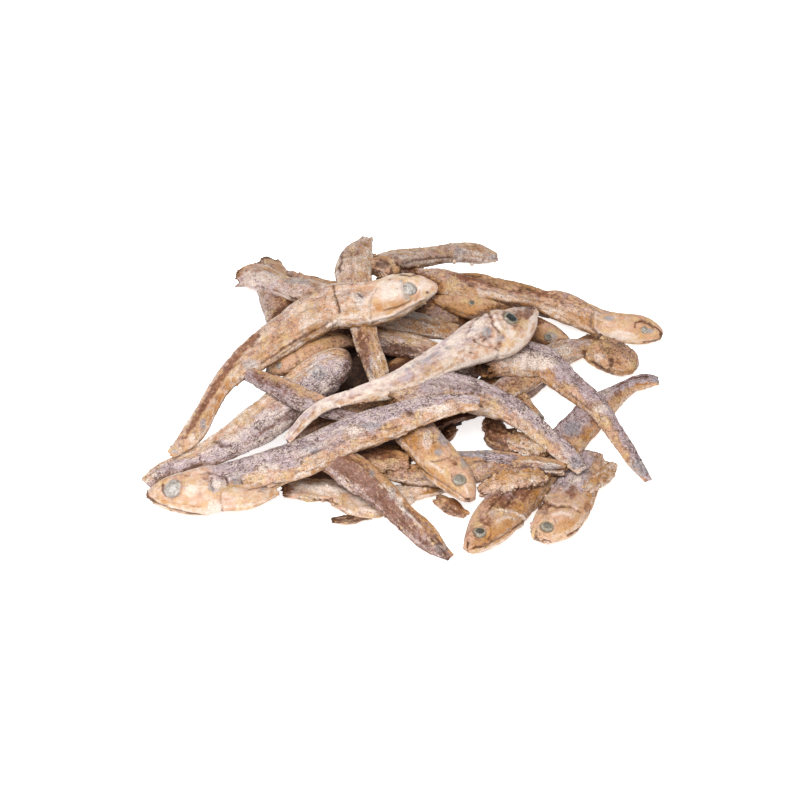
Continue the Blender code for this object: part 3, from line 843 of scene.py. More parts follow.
def grow_fish(number, laid, lean, start, side, gap, sides, look, marks, eye=None, buried_shade=0.0,
              thin=1.0):
    """One fish as points, faces and what is stored on them, and its eyes.

    start is what its first end is: a head, a break, a round end or a whole closed edge. side is
    +1 or -1, the edge of the section that is the back. look is how lilac, warm, pale, speckled,
    crusty and red-brown the fish is, where a speckled below nothing makes the skin smooth.
    """
    crusty = look[4]
    rows = body_rows(laid, start, gap, thin)
    body = smooth_body(number, rows, lean, start, side, sides, crusty, thin)
    folds = dried_folds(body.skin, body.shift)
    effect = marks_on(body, marks)
    relief = dried_relief(body, folds, crusty) + effect[..., 0]
    eyes = sink_eyes(body, eye, relief, effect) if eye else []
    grid = torn_grid(body, relief)
    values = skin_shares(body, folds, look, effect, buried_shade)

    before, before_values = closing_rings(body, grid, values, 0, body.along[0])
    after, after_values = closing_rings(body, grid, values, -1, -body.along[-1])
    points = np.concatenate([before[::-1], grid, after]).clip(BOX_LOW, BOX_HIGH)
    for label, rows in values.items():
        rows = np.concatenate([before_values[label][::-1], rows, after_values[label]])
        values[label] = rows.reshape(-1, rows.shape[-1])
    return points.reshape(-1, 3), closed_tube(points), values, eyes


def skin_inputs(nodes):
    """What is stored on the skin, and the grains of noise that break it up."""
    marks = nodes.stored("marks", "Color")
    dirt_and_shade, bloom_and_sheen, warmth = nodes.add("ShaderNodeSeparateColor", {0: marks}).outputs
    form = nodes.stored("form", "Vector")
    tone, torn, specks = nodes.add("ShaderNodeSeparateXYZ", {0: form}).outputs
    skin, place = nodes.stored("skin", "Vector"), nodes.place()
    streaks = nodes.stretched(skin, 0.65, 1.7, 5.0, 0.65)
    mottle = nodes.grain(place, 0.0009, 4.0, 0.63)
    rough = nodes.step(specks, -1.0, 0.0)
    uneven = nodes.sum("SUBTRACT", nodes.plus(streaks, mottle), 1.0)
    uneven = nodes.times(uneven, nodes.step(rough, 0.0, 1.0, 0.55, 1.08))
    return SimpleNamespace(
        dirt_and_shade=dirt_and_shade, bloom_and_sheen=bloom_and_sheen, warmth=warmth, blue=nodes.stored("marks", "Alpha"), tone=tone,
        torn=torn, specks=specks, stain=nodes.stored("stain", "Fac"), rough=rough,
        streaks=streaks, mottle=mottle, uneven=uneven, soft=nodes.times(uneven, 0.7),
        folds=nodes.stretched(skin, 0.55, 0.9, 4.0, 0.55),
        dashes=nodes.stretched(skin, 1.9, 3.3, 3.0, 0.70),
        drifts=nodes.grain(place, 0.0034, 2.0), zones=nodes.grain(place, 0.0026, 2.0),
        tints=nodes.grain(place, 0.0013, 3.0), grit=nodes.grain(place, 0.00030, 2.0))


def flank_colour(nodes, given):
    """Cream, pink, yellow and orange flanks."""
    colour = nodes.blend(nodes.step(given.drifts, 0.39, 0.57), CREAM, PINK)
    sallow = nodes.step(nodes.plus(given.zones, given.soft), 0.47, 0.77, 0.0, 0.78)
    sallow = nodes.times(sallow, nodes.step(given.rough, 0.0, 1.0, 0.45, 1.0))
    colour = nodes.blend(sallow, colour, OCHRE)
    warm = nodes.plus(given.warmth, given.soft)
    colour = nodes.blend(nodes.step(warm, 0.10, 0.65, 0.0, 0.9), colour, OCHRE)
    return nodes.blend(nodes.step(warm, 0.62, 1.15), colour, ORANGE)


def back_colour(nodes, given, colour):
    """The lilac-grey back with its brown fringe, brown and blue-grey tints, pale bloom and painted
    sheen.
    """
    worn = nodes.times(nodes.sum("SUBTRACT", given.zones, 0.5), 1.3)
    back = nodes.plus(nodes.plus(given.tone, given.soft), worn)
    fringe = nodes.step(nodes.away(back, 0.42), 0.30, 0.02)
    fringe = nodes.times(fringe, nodes.step(given.mottle, 0.38, 0.60))
    fringe = nodes.times(fringe, nodes.step(given.tone, 0.0, 0.3, 0.15, 0.8))
    colour = nodes.blend(nodes.step(back, 0.25, 0.80), colour, LILAC)
    colour = nodes.blend(fringe, colour, MAUVE)
    tinted = nodes.step(given.tints, 0.55, 0.72, 0.0, 0.60)
    tinted = nodes.times(tinted, nodes.step(given.rough, 0.0, 1.0, 0.2, 1.0))
    colour = nodes.blend(tinted, colour, MAUVE)
    blue = nodes.step(nodes.plus(given.blue, given.uneven), 0.20, 0.90)
    colour = nodes.blend(blue, colour, BLUE_GREY)
    # painted sheen and highlight, over the pale bloom of the skin
    sheen = nodes.step(nodes.plus(given.bloom_and_sheen, nodes.times(given.uneven, 1.5)), 0.22, 0.95)
    return nodes.blend(sheen, colour, BLOOM_AND_SHEEN)


def speckled_colour(nodes, given, colour):
    """The red-brown stains and the fine dark specks, which are rarer in some patches."""
    stains = nodes.step(nodes.plus(given.stain, nodes.times(given.uneven, 1.8)), 0.40, 0.95)
    colour = nodes.blend(nodes.times(stains, 0.88), colour, STAIN)
    patches = nodes.step(nodes.plus(given.zones, nodes.times(given.uneven, 0.5)), 0.40, 0.56)
    spotted = nodes.plus(nodes.times(given.specks, 0.14), given.dashes)
    spotted = nodes.step(spotted, 0.566, 0.650)
    spotted = nodes.times(spotted, nodes.step(patches, 0.0, 1.0, 0.95, 0.22))
    spotted = nodes.times(spotted, nodes.step(given.specks, 0.0, 0.5, 0.30, 1.0))
    return nodes.blend(spotted, colour, SPECK)


def cracked_colour(nodes, given, colour):
    """The brown cracks, dirt with painted shade, the raw flesh at the torn ends, and grime on it all."""
    crack = nodes.step(nodes.away(given.folds, 0.5), 0.028, 0.006, 0.0, 0.90)
    crack = nodes.times(crack, nodes.step(given.mottle, 0.42, 0.56))
    crack = nodes.times(crack, nodes.step(given.rough, 0.0, 1.0, 0.25, 1.0))
    colour = nodes.blend(crack, colour, CREASE_BROWN)
    # dirt and painted shade from furrows, edges, creases, sockets, hollows and buried fish
    dirt_and_shade = nodes.step(nodes.plus(given.dirt_and_shade, given.uneven), 0.22, 0.95, 0.0, 0.93)
    colour = nodes.blend(dirt_and_shade, colour, CREASE_BROWN)
    raw = nodes.blend(nodes.step(given.grit, 0.40, 0.62), TORN_DARK, TORN_BROWN)
    raw = nodes.blend(nodes.step(given.mottle, 0.50, 0.66, 0.0, 0.85), raw, OCHRE)
    # deep in a hollow the raw flesh goes near black: painted shade
    raw = nodes.blend(nodes.step(given.dirt_and_shade, 0.55, 1.0), raw, TORN_DARK)
    colour = nodes.blend(given.torn, colour, raw)
    grime = nodes.step(given.grit, 0.36, 0.60, 0.42, 0.0)
    grime = nodes.times(grime, nodes.step(given.rough, 0.0, 1.0, 0.4, 1.0))
    return nodes.blend(grime, colour, CREASE_BROWN, "MULTIPLY")


def dried_skin():
    """Dried fish skin, slightly glossy, with fibres, pits and grit too fine for the mesh."""
    nodes = Material("dried_skin")
    given = skin_inputs(nodes)
    colour = back_colour(nodes, given, flank_colour(nodes, given))
    colour = cracked_colour(nodes, given, speckled_colour(nodes, given, colour))
    nodes.join("Base Color", colour)
    matt = nodes.step(nodes.plus(given.mottle, given.torn), 0.3, 1.1, 0.38, 0.80)
    nodes.join("Roughness", matt)
    nodes.shader.inputs["Specular IOR Level"].default_value = 0.38
    fibres = nodes.bumps(given.streaks, 0.00022, 0.6)
    pits = nodes.bumps(given.mottle, 0.00020, 0.7, fibres)
    nodes.join("Normal", nodes.bumps(given.grit, 0.00010, 0.9, pits))
    return nodes.material


BOX_LOW = np.array([*cad_box[0][:2], 0]) / MM + GROUND_GAP / 5
BOX_HIGH = np.array(cad_box[1]) / MM - GROUND_GAP / 5
BOX_LOW[2] = GROUND_GAP
skin_material = dried_skin()
all_eyes = []
finished_skins = {}
fish_numbers = itertools.count()


def fish_piece(name, fish, gap=SKIN_GAP, sides=SKIN_SIDES):
    """Lays these fish one after another and makes them one piece of the heap."""
    skins = []
    for entry in fish:
        laid = lay_fish(entry.pop("route"), entry["lean"])
        *skin, eyes = grow_fish(next(fish_numbers), laid, gap=gap, sides=sides, **entry)
        skins.append(skin)
        all_eyes.extend(eyes)
    finished_skins[name] = joined(name, skins)
    place_in_heap(finished_skins[name], skin_material)


def broken(lean, side, look, route, marks=(), buried_shade=0.0, thin=1.0):
    """A headless or broken fish from its broken end to its tail, with painted shade where buried.

    thin is the thickness of a torn flat piece over that of a whole fish.
    """
    return dict(lean=lean, start="break", side=side, look=look, route=route, marks=marks,
                buried_shade=buried_shade, thin=thin)


def headed(lean, side, look, route, eye, marks=()):
    """A fish with its head, from its snout to its tail."""
    return dict(lean=lean, start="head", side=side, look=look, route=route, marks=marks, eye=eye)


BURIED_LOOK = (0.35, 0.8, 0.3, 0.5, 1.3, 0.5)
BURIED = [
    (252, 272, 2.5, 285, 283, 5.5, 345, 292, 4),
    (270, 300, 4, 320, 300, 6.5, 370, 300, 7, 425, 296, 3.5),
    (290, 318, 5, 340, 320, 8, 400, 322, 7, 440, 318, 4),
    (408, 294, 5, 460, 288, 7, 500, 293, 7, 545, 304, 6, 605, 326, 4),
    (415, 309, 5, 445, 312, 8, 470, 320, 8, 500, 338, 5),
    (461, 342, 6, 513, 335, 7, 548, 326, 4),
    (262, 415, 4, 290, 395, 8, 318, 372, 8, 335, 350, 5),
    (330, 430, 4, 370, 418, 8, 420, 405, 7, 450, 398, 4),
    (296, 478, 4, 335, 470, 7, 380, 462, 7, 415, 450, 4),
    (465, 400, 5, 500, 392, 8, 530, 380, 6.5, 556, 362, 4),
]
fish_piece("buried_fish", [
    broken(15, 1, BURIED_LOOK, [row[step:step + 3] for step in range(0, len(row), 3)],
           buried_shade=BURIED_SHADE)
    for row in BURIED], BURIED_GAP, BURIED_SIDES)

# The split fish and scraps under the front
# Flat torn pieces of fish that stick out at the front, low on the table: one long split half
# with ragged edges and frayed ends, and two thin brown scraps.
fish_piece("front_scraps", [
    broken(10, 1, (0.1, 0.9, 0.1, 0.5, 2.0, 0.6), [(440, 501, 2.5), (452, 507, 4), (467, 516, 2)],
           [("brown", 9, (453, 508, 14, 8))]),
    broken(0, 1, (0.1, 0.8, 0.1, 0.5, 2.0, 0.5), [(338, 520, 1.5), (350, 519, 2.5), (368, 512, 4)],
           [("dark", 6, (350, 518, 18, 5))]),
    broken(0, 1, (0.0, 0.6, 1.0, -0.35, 1.75, 0.12), [
        (288, 486, 4.5), (310, 485, 7.2), (335, 488, 7), (360, 497, 8.3), (385, 496, 7.3),
        (415, 487, 5.2), (446, 482, 3.6)],
        [("brown", 4, (291, 489, 5, 8)), ("shaded_crease", 2.0, [(300, 500), (318, 498), (338, 503)]),
         ("pale", 6, (330, 488, 26, 7)),
         ("shaded_crease", 2, [(392, 484), (410, 481), (428, 477)]),
         ("warm", 9, (424, 495, 22, 12)), ("brown", 1.5, [(305, 480), (330, 483), (352, 489)]),
         ("pale", 8, (370, 499, 22, 8)), ("lit_ridge", 1.6, [(300, 486), (325, 488), (350, 493)])],
        thin=0.45),
])

# The fish under the left side
# A broken fish stands steeply at the back left, with a buried one before it. Below the fish on
# top lie a small shaded head and one more broken fish, orange-brown where they show.
fish_piece("left_under_fish", [
    broken(10, 1, (0.5, 0.8, 0.5, 0.6, 1.2, 0.35), [
        (268, 268, 6.5), (277, 290, 9), (289, 322, 9.5), (302, 350, 8.5), (314, 374, 6)],
        [("brown", 6, (283, 300, 10, 22))]),
    broken(15, 1, (0.5, 0.6, 0.2, 0.5, 1.2, 0.5), [
        (270, 402, 3), (290, 390, 5.5), (315, 375, 6), (338, 368, 4)]),
    headed(10, 1, (0.15, 0.9, 0.1, 0.6, 1.3, 0.3), [
        (268, 373, 2), (280, 364, 5.5), (300, 356, 6.5), (325, 345, 5.5), (350, 338, 3.5)],
        (279, 365, 4, 1), [("shaded_crease", 2, [(293, 348), (297, 358), (300, 368)])]),
    broken(15, 1, (0.6, 0.5, 0.3, 0.5, 1.2, 0.5), [
        (292, 290, 4), (340, 299, 7), (400, 300, 7), (425, 298, 4)]),
])

# The torn scraps in the middle
# Dark brown and olive pieces torn from bodies, in layers with frayed edges, a tan shard, and a
# lump of a body curled up hard at the right. They are rough all over.
fish_piece("torn_scraps", [
    broken(10, 1, (0.1, 0.8, 0.0, 0.5, 2.6, 0.45), [
        (498, 402, 4), (493, 420, 5), (499, 436, 7.5), (524, 446, 6)],
        [("brown", 9, (500, 430, 26, 22)), ("shaded_crease", 2.2, [(488, 428), (505, 433), (520, 430)]),
         ("shaded_crease", 2, [(492, 440), (508, 446), (522, 447)])]),
    broken(20, 1, (0.15, 0.9, 0.15, 0.4, 1.5, 0.25), [
        (538, 416, 1.5), (527, 408, 3.5), (516, 398, 5), (500, 388, 5), (478, 382, 4)],
        [("grey", 5, (539, 414, 5, 5))]),
    broken(10, 1, (0.2, 0.7, 0.0, 0.6, 2.2, 0.6), [
        (425, 429, 3), (450, 419, 2.4), (475, 413, 2.2), (492, 410, 2.2)],
        [("brown", 6, (455, 420, 38, 9))]),
    broken(10, 1, (0.1, 0.9, 0.1, 0.4, 1.8, 0.2), [(438, 443, 1.5), (447, 436, 3), (455, 428, 2)],
           [("brown", 5, (447, 436, 9, 8))]),
    broken(20, 1, (0.9, 0.4, 0.0, 0.9, 1.4, 0.5), [
        (384, 374, 2.5), (398, 366, 3.5), (418, 356, 4), (440, 346, 3.5)],
        [("brown", 5, (410, 360, 28, 12))]),
    dict(broken(10, 1, (0.15, 0.65, 0.3, 0.9, 1.6, 0.15), [
        (634, 370, 4.5), (623, 363, 7.5), (604, 353, 8), (589, 344, 6), (580, 339, 4)],
        [("shaded_crease", 1.6, [(600, 347), (605, 349), (611, 350)]), ("dark", 4, (611, 362, 3, 5)),
         ("shaded_crease", 1.6, [(609, 354), (612, 362), (609, 371)]), ("brown", 5, (618, 364, 5, 7)),
         ("dark", 2, [(592, 361), (600, 368), (614, 376)]), ("warm", 5, (628, 374, 7, 4)),
         ("dark", 2.4, [(584, 338), (590, 336), (598, 338)]), ("pale", 5, (600, 357, 6, 4))]),
        start="round"),
])

# The whole fish at the right
# It lies on the table with its head to the front and its tail out to the back right. The gill
# cover stands up in a pale fold, the jaw has orange stripes, and the back is dark and spotted.
fish_piece("right_whole_fish", [
    headed(15, -1, (1.0, 0.55, 0.25, 0.9, 1.0, 0.55), [
        (468, 550, 2.5), (476, 542, 5.8), (489, 528, 9.1), (506, 508, 10), (529, 484, 9.6),
        (555, 457, 8.6), (578, 428, 8.2), (604, 403, 6), (628, 387, 3.5), (645, 381, 3.5),
        (660, 380, 2)],
        (480.5, 531, 7.2, 2),
        [("gill", 8, [(524, 520), (515, 514), (502, 511), (491, 513)]),
         ("lit_ridge", 1.6, [(491, 514), (502, 511), (515, 514), (523, 518)]),
         ("pale", 1.8, [(497, 521), (506, 517), (515, 519)]), ("warm", 8, (512, 526, 13, 8)),
         ("warm", 6, (519, 510, 7, 9)),
         ("red", 8, (503, 500, 14, 9)), ("brown", 6, (498, 504, 16, 9)), ("red", 8, (526, 492, 12, 12)),
         ("brown", 6, (520, 486, 14, 9)), ("shaded_crease", 1.5, [(487, 513), (494, 503), (504, 492)]),
         ("shaded_crease", 1.5, [(504, 508), (512, 498), (518, 486)]), ("warm", 6, (538, 496, 6, 8)),
         ("line", 1.2, [(468, 540), (467, 547), (469, 553)]), ("brown", 2, (474, 546, 3, 4)),
         ("shaded_crease", 0.8, [(470, 549), (486, 546), (502, 537), (515, 528), (528, 519)]),
         ("brown", 6, (487, 520, 7, 6)), ("warm", 10, (490, 538, 18, 12)),
         ("brown", 3, [(474, 538), (482, 543), (494, 538)]),
         ("warm_lit_ridge", 1.6, [(474, 545), (488, 541), (502, 532), (516, 522)]),
         ("brown", 1.2, [(474, 548), (488, 543), (503, 534), (518, 524)]),
         ("pale", 1.6, [(480, 552), (494, 546), (510, 536), (526, 524)]),
         ("brown", 1.3, [(486, 523), (491, 527), (491, 534), (488, 540)]),
         ("red", 5, (536, 478, 8, 8)), ("brown", 6, (548, 452, 8, 10)), ("brown", 4, (596, 419, 6, 6)),
         ("grey", 6, (572, 428, 10, 10)), ("warm", 6, (588, 436, 7, 7)), ("red", 4, (619, 393, 5, 4)),
         ("pale", 4, (606, 392, 7, 4)), ("warm", 6, (638, 381, 12, 5)), ("grey", 4, (657, 380, 4, 3)),
         ("dark", 1.2, [(618, 386), (632, 378), (648, 376)])]),
], HEAD_GAP, HEAD_SIDES)

# The broken fish at the back
# A headless fish points to the back right. Its broken end at the heap's middle is a crumbly mass
# of flesh, and a buried fish stands under it.
fish_piece("back_broken_fish", [
    broken(15, 1, (0.6, 0.5, 0.3, 0.5, 1.2, 0.5), [(370, 322, 6), (391, 286, 7), (418, 258, 5)]),
    broken(20, 1, (0.4, 0.5, 0.9, 0.2, 0.8, 0.10), [
        (378, 266, 5), (400, 260, 5.5), (430, 256, 4.5), (460, 252, 4.7), (482, 254, 4.5),
        (498, 257, 2)],
        [("brown", 8, (388, 266, 18, 12)), ("dark", 2.2, [(405, 262), (430, 258), (455, 257)]),
         ("grey", 5, (460, 251, 8, 4)), ("warm", 6, (477, 251, 8, 4)),
         ("grey", 4, (494, 257, 6, 4)), ("dark", 4, (384, 262, 5, 4))]),
    broken(20, 1, (0.0, 0.75, 0.6, 0.2, 2.6, 0.1), [(369, 266, 3.5), (384, 267, 6.5), (400, 274, 5)],
           [("dark", 6, (383, 264, 8, 6)), ("brown", 5, (374, 270, 5, 6))]),
])

# The stub at the front right
# A fish broken off behind its belly, head down on the table. A torn flap of its side stands out
# to the right, and the open end is olive and frayed.
fish_piece("front_stub_fish", [
    headed(12, -1, (0.95, 0.55, 0.5, 0.7, 1.0, 0.20), [
        (535, 538, 2), (543, 532, 6.3), (557, 521, 9.9), (568, 505, 9.9), (578, 485, 9.1),
        (587, 466, 7.6), (592, 452, 5.2)],
        (547, 525.5, 7.2, 1.4),
        [("gill", 8, [(581, 511), (571, 506), (557, 506), (545, 502)]),
         ("brown", 1.6, [(546, 503), (557, 507), (571, 506), (580, 511)]),
         ("brown", 5, (545, 506, 6, 8)),
         ("shaded_crease", 0.8, [(564, 537), (575, 532), (586, 524)]), ("red", 1.6, [(568, 536), (582, 528)]),
         ("pale", 2.0, [(560, 541), (572, 537), (584, 529)]),
         ("pale", 1.8, [(553, 514), (562, 512), (571, 515)]),
         ("warm", 6, (545, 512, 5, 5)), ("warm", 8, (566, 526, 12, 7)), ("red", 5, (587, 508, 5, 6)),
         ("warm", 6, (588, 507, 5, 7)), ("warm", 6, (592, 494, 5, 8)),
         ("dark", 1.6, [(539, 508), (546, 493), (556, 476)]), ("red", 6, (572, 492, 7, 7)),
         ("brown", 1.2, [(553, 519), (558, 526), (554, 534)]), ("pale", 5, (575, 480, 8, 6)),
         ("lit_ridge", 1.5, [(560, 494), (570, 483), (580, 478)]), ("warm", 6, (592, 452, 6, 5)),
         ("shaded_crease", 0.8, [(541, 538), (552, 543), (565, 541)]),
         ("line", 1.2, [(536, 531), (537, 538), (540, 543)])]),
    broken(10, 1, (0.1, 0.55, 0.9, 0.2, 1.4, 0.0), [(586, 486, 4), (600, 473, 5), (615, 462, 1.5)],
           [("warm", 7, (600, 476, 14, 8)), ("lit_ridge", 1.4, [(592, 478), (604, 472), (615, 463)])],
           thin=0.5),
], HEAD_GAP, HEAD_SIDES)

# The fish in the hollow of the middle
# Two headless fish lie side by side under the ones on top. The upper one is grey with a yellow
# belly, the lower one purple-brown, speckled and crusty.
fish_piece("centre_fish", [
    broken(20, 1, (0.2, 1.1, 0.75, 0.2, 0.8, 0.0), [
        (366, 312, 4.5), (385, 318, 5.5), (410, 323, 5.5), (435, 328, 5), (460, 334, 4)],
        [("grey", 5, (412, 315, 30, 4)), ("warm", 6, (425, 330, 30, 5)),
         ("shaded_crease", 1.6, [(385, 312), (410, 318), (440, 325)])]),
    broken(20, 1, (0.5, 0.9, 0.7, 1.0, 1.2, 0.5), [
        (360, 336, 5.5), (380, 341, 6), (405, 345, 6), (430, 352, 5.5), (455, 362, 4),
        (480, 376, 3)],
        [("brown", 7, (415, 352, 36, 9)), ("line", 1.6, [(390, 345), (415, 352), (440, 360)])]),
])

# The two shaded heads
# Small heads that look out from under the fish on top, one to the left behind the middle, the
# other to the right. Both are orange-brown with a brown upper edge.
fish_piece("shaded_head_fish", [
    headed(20, -1, (0.2, 0.9, 0.1, 0.4, 0.9, 0.1), [
        (434, 298, 2.5), (450, 302, 4.5), (472, 308, 6), (498, 316, 6), (520, 322, 4.5)],
        (472, 302.5, 4.0, 1.7), [("warm", 9, (462, 310, 20, 8)),
                              ("shaded_crease", 1.6, [(446, 308), (462, 314), (476, 317)])]),
    headed(20, 1, (0.5, 0.70, 0.35, 0.4, 1.0, 0.45), [
        (572, 346, 1.5), (564, 343, 4), (548, 336, 6), (528, 327, 6), (505, 318, 4)],
        (549, 336.5, 4.4, 1.5),
        [("brown", 2.4, [(540, 318), (552, 324), (566, 334), (572, 341)]),
         ("shaded_crease", 1.5, [(548, 346), (558, 348), (568, 349)]),
         ("brown", 5, (540, 322, 5, 4)), ("warm", 8, (536, 336, 10, 12)),
         ("grey", 5, (551, 337, 8, 6)), ("brown", 4, (562, 341, 8, 4)), ("brown", 4, (531, 328, 5, 9))]),
], HEAD_GAP, SMALL_HEAD_SIDES)

# The fish at the back left and the pink one
# The back left one has jagged orange tips and a blue-grey stripe, with a thin sliver beside it.
# The pink one at the right is torn open at its inner end, with brown fibres.
fish_piece("left_back_fish", [
    broken(20, 1, (0.5, 0.6, 0.4, 0.4, 1.2, 0.2), [
        (292, 274, 1.5), (316, 284, 3), (340, 288, 3), (372, 285, 2.5)]),
    broken(20, 1, (0.6, 0.45, 0.9, 0.1, 0.9, 0.0), [
        (241, 278, 3.8), (256, 276, 6), (284, 287, 5.5), (310, 292, 6), (335, 302, 5),
        (362, 312, 4)],
        [("warm", 5, (241, 274, 8, 9)), ("grey", 4, (297, 281, 16, 4)),
         ("pale", 5, (268, 277, 13, 6)), ("shaded_crease", 1.5, [(256, 286), (275, 291), (295, 299)])]),
])
fish_piece("right_pink_fish", [
    broken(20, 1, (0.5, 0.4, 0.8, 0.3, 0.9, 0.2), [
        (587, 347, 3.3), (569, 351, 5.6), (547, 362, 7), (524, 379, 6), (500, 393, 5),
        (478, 404, 3.5)],
        [("grey", 5, (552, 352, 8, 5)), ("pale", 6, (566, 350, 8, 6)), ("dark", 4, (586, 352, 4, 5)),
         ("brown", 9, (515, 385, 22, 10)), ("shaded_crease", 1.6, [(545, 366), (560, 362), (576, 358)])]),
])

# The headless fish at the left
# It comes out of the heap to the front left and ends in a hooked orange tail. Its upper edge is
# pale, its lower edge speckled, and its thick end closed and round with a dark edge.
fish_piece("left_mid_fish", [
    dict(broken(25, -1, (1.15, 0.0, 0.90, 1.0, 1.0, 0.12), [
        (351, 366, 6), (345, 366, 8), (330, 369, 9.5), (306, 385, 10), (284, 406, 10),
        (261, 423, 9.5), (240, 437, 8), (213, 452, 6.5), (188, 463, 5), (164, 472, 4.8),
        (146, 484, 3.4)],
        [("warm", 6, (153, 477, 9, 7)), ("dark", 2.6, [(214, 441), (222, 445), (230, 446)]),
         ("shaded_crease", 1.8, [(184, 470), (194, 466), (204, 463)]),
         ("dark", 5, [(348, 352), (354, 364), (352, 380)]),
         ("brown", 4, [(341, 350), (346, 366), (343, 384)]),
         ("warm", 6, [(334, 354), (330, 368), (333, 384)]), ("grey", 6, (318, 372, 12, 8)),
         ("lit_ridge", 2.0, [(262, 402), (288, 382), (312, 364)]),
         ("shaded_crease", 2.0, [(262, 432), (286, 415), (306, 398)]),
         ("brown", 4, [(240, 446), (268, 430), (296, 412)])]), start="round"),
], BODY_GAP, BODY_SIDES)

# The thin strips in the middle
# A strip of brown-grey skin and a split grey tail lie under the long fish, with a buried one.
fish_piece("thin_strips", [
    broken(15, 1, (0.6, 0.5, 0.3, 0.5, 1.2, 0.5), [
        (400, 402, 4), (440, 392, 5), (480, 398, 4.5), (512, 410, 3)]),
    broken(25, 1, (0.8, 0.6, 0.5, 0.8, 1.1, 0.3), [
        (430, 398, 5.5), (395, 404, 6), (360, 412, 5.5), (330, 423, 4.5), (305, 433, 3.5),
        (286, 441, 2)],
        [("grey", 6, (296, 430, 16, 10)), ("line", 1.3, [(296, 436), (312, 427), (330, 419)])]),
    broken(25, 1, (0.8, 0.5, 0.4, 1.0, 1.2, 0.45), [
        (242, 371, 3), (262, 380, 4), (285, 391, 5), (310, 402, 5), (340, 412, 4),
        (368, 418, 3)],
        [("lit_ridge", 1.2, [(272, 398), (286, 405), (300, 410)]),
         ("brown", 4, [(256, 376), (284, 389), (316, 402)])]),
])

# The band and the crumbs at the front
# A headless fish lies across the front, split into pale rays at its right end. Two clusters of
# orange-cream crumbs stick to the fish around it.
fish_piece("front_band_fish", [
    broken(20, -1, (0.25, 0.95, 0.5, 0.6, 1.0, 0.6), [
        (558, 468, 3), (545, 466, 4), (520, 465, 4.5), (495, 466, 5.5), (470, 469, 7),
        (440, 474, 6), (405, 474, 4.5), (380, 470, 3)],
        [("lit_ridge", 1.2, [(520, 461), (540, 463), (557, 466)]),
         ("line", 1.1, [(516, 466), (538, 468), (556, 470)]),
         ("lit_ridge", 1.2, [(510, 470), (535, 472), (552, 472)]),
         ("grey", 4, (548, 467, 10, 5)), ("shaded_crease", 1.5, [(470, 462), (490, 460), (512, 460)]),
         ("warm", 6, (500, 470, 16, 7))]),
])
fish_piece("crumb_clusters", [
    broken(10, 1, (0.0, 1.25, 0.7, -0.2, 2.1, 0.0), [
        (486, 489, 3), (504, 482, 5), (530, 478, 5), (545, 474, 3.5)]),
    broken(10, 1, (0.0, 1.1, 0.9, -0.2, 2.1, 0.0), [(515, 440, 3.5), (535, 446, 5), (550, 452, 4)]),
])

# The long fish at the back right
# A whole thin fish lies along the back with its head out to the right. Its eye has sunk under a
# brown lid, its neck is pinched, and a brown stripe runs down its back.
fish_piece("back_right_fish", [
    headed(28, 1, (0.35, 0.75, 0.5, -0.15, 0.85, 0.4), [
        (662, 336, 2), (654, 333, 4.7), (640, 330, 6.8), (620, 328, 6.8), (600, 323, 6.2),
        (583, 316, 6.6), (560, 306, 7), (540, 301, 5), (520, 298, 3.3), (500, 295, 2.8),
        (480, 289, 4.3), (460, 286, 5.3), (440, 282, 6), (415, 279, 5)],
        (645, 329, 4.6, 0.6),
        [("shaded_crease", 0.9, [(635, 327), (636, 322), (642, 320), (649, 323), (654, 329)]),
         ("brown", 2.0, [(635, 327), (636, 322), (642, 320), (649, 323)]),
         ("grey", 4, (650, 331, 5, 3)),
         ("line", 1.0, [(650, 323), (657, 328), (662, 334)]), ("dark", 1.4, (661, 335, 2, 4)),
         ("line", 0.9, [(644, 342), (654, 341), (661, 338)]), ("brown", 1.0, [(652, 336), (660, 334)]),
         ("lit_ridge", 1.6, [(596, 313), (595, 326), (601, 335), (611, 340)]),
         ("shaded_crease", 1.8, [(592, 314), (590, 325), (596, 334)]), ("warm", 5, (621, 325, 6, 3)),
         ("grey", 3, (609, 318, 7, 3)), ("pale", 6, (622, 335, 16, 5)), ("warm", 4, (585, 318, 6, 6)),
         ("brown", 3.0, [(451, 274), (480, 280), (510, 288), (540, 292), (568, 299)]),
         ("red", 2.6, [(460, 276), (490, 283), (520, 290), (545, 294)]),
         ("pale", 4, [(480, 291), (520, 300), (560, 312)]),
         ("warm", 4, [(500, 296), (540, 304), (575, 318)]),
         ("shaded_crease", 1.3, [(470, 284), (500, 293), (530, 299), (556, 308)])]),
], HEAD_GAP, HEAD_SIDES)

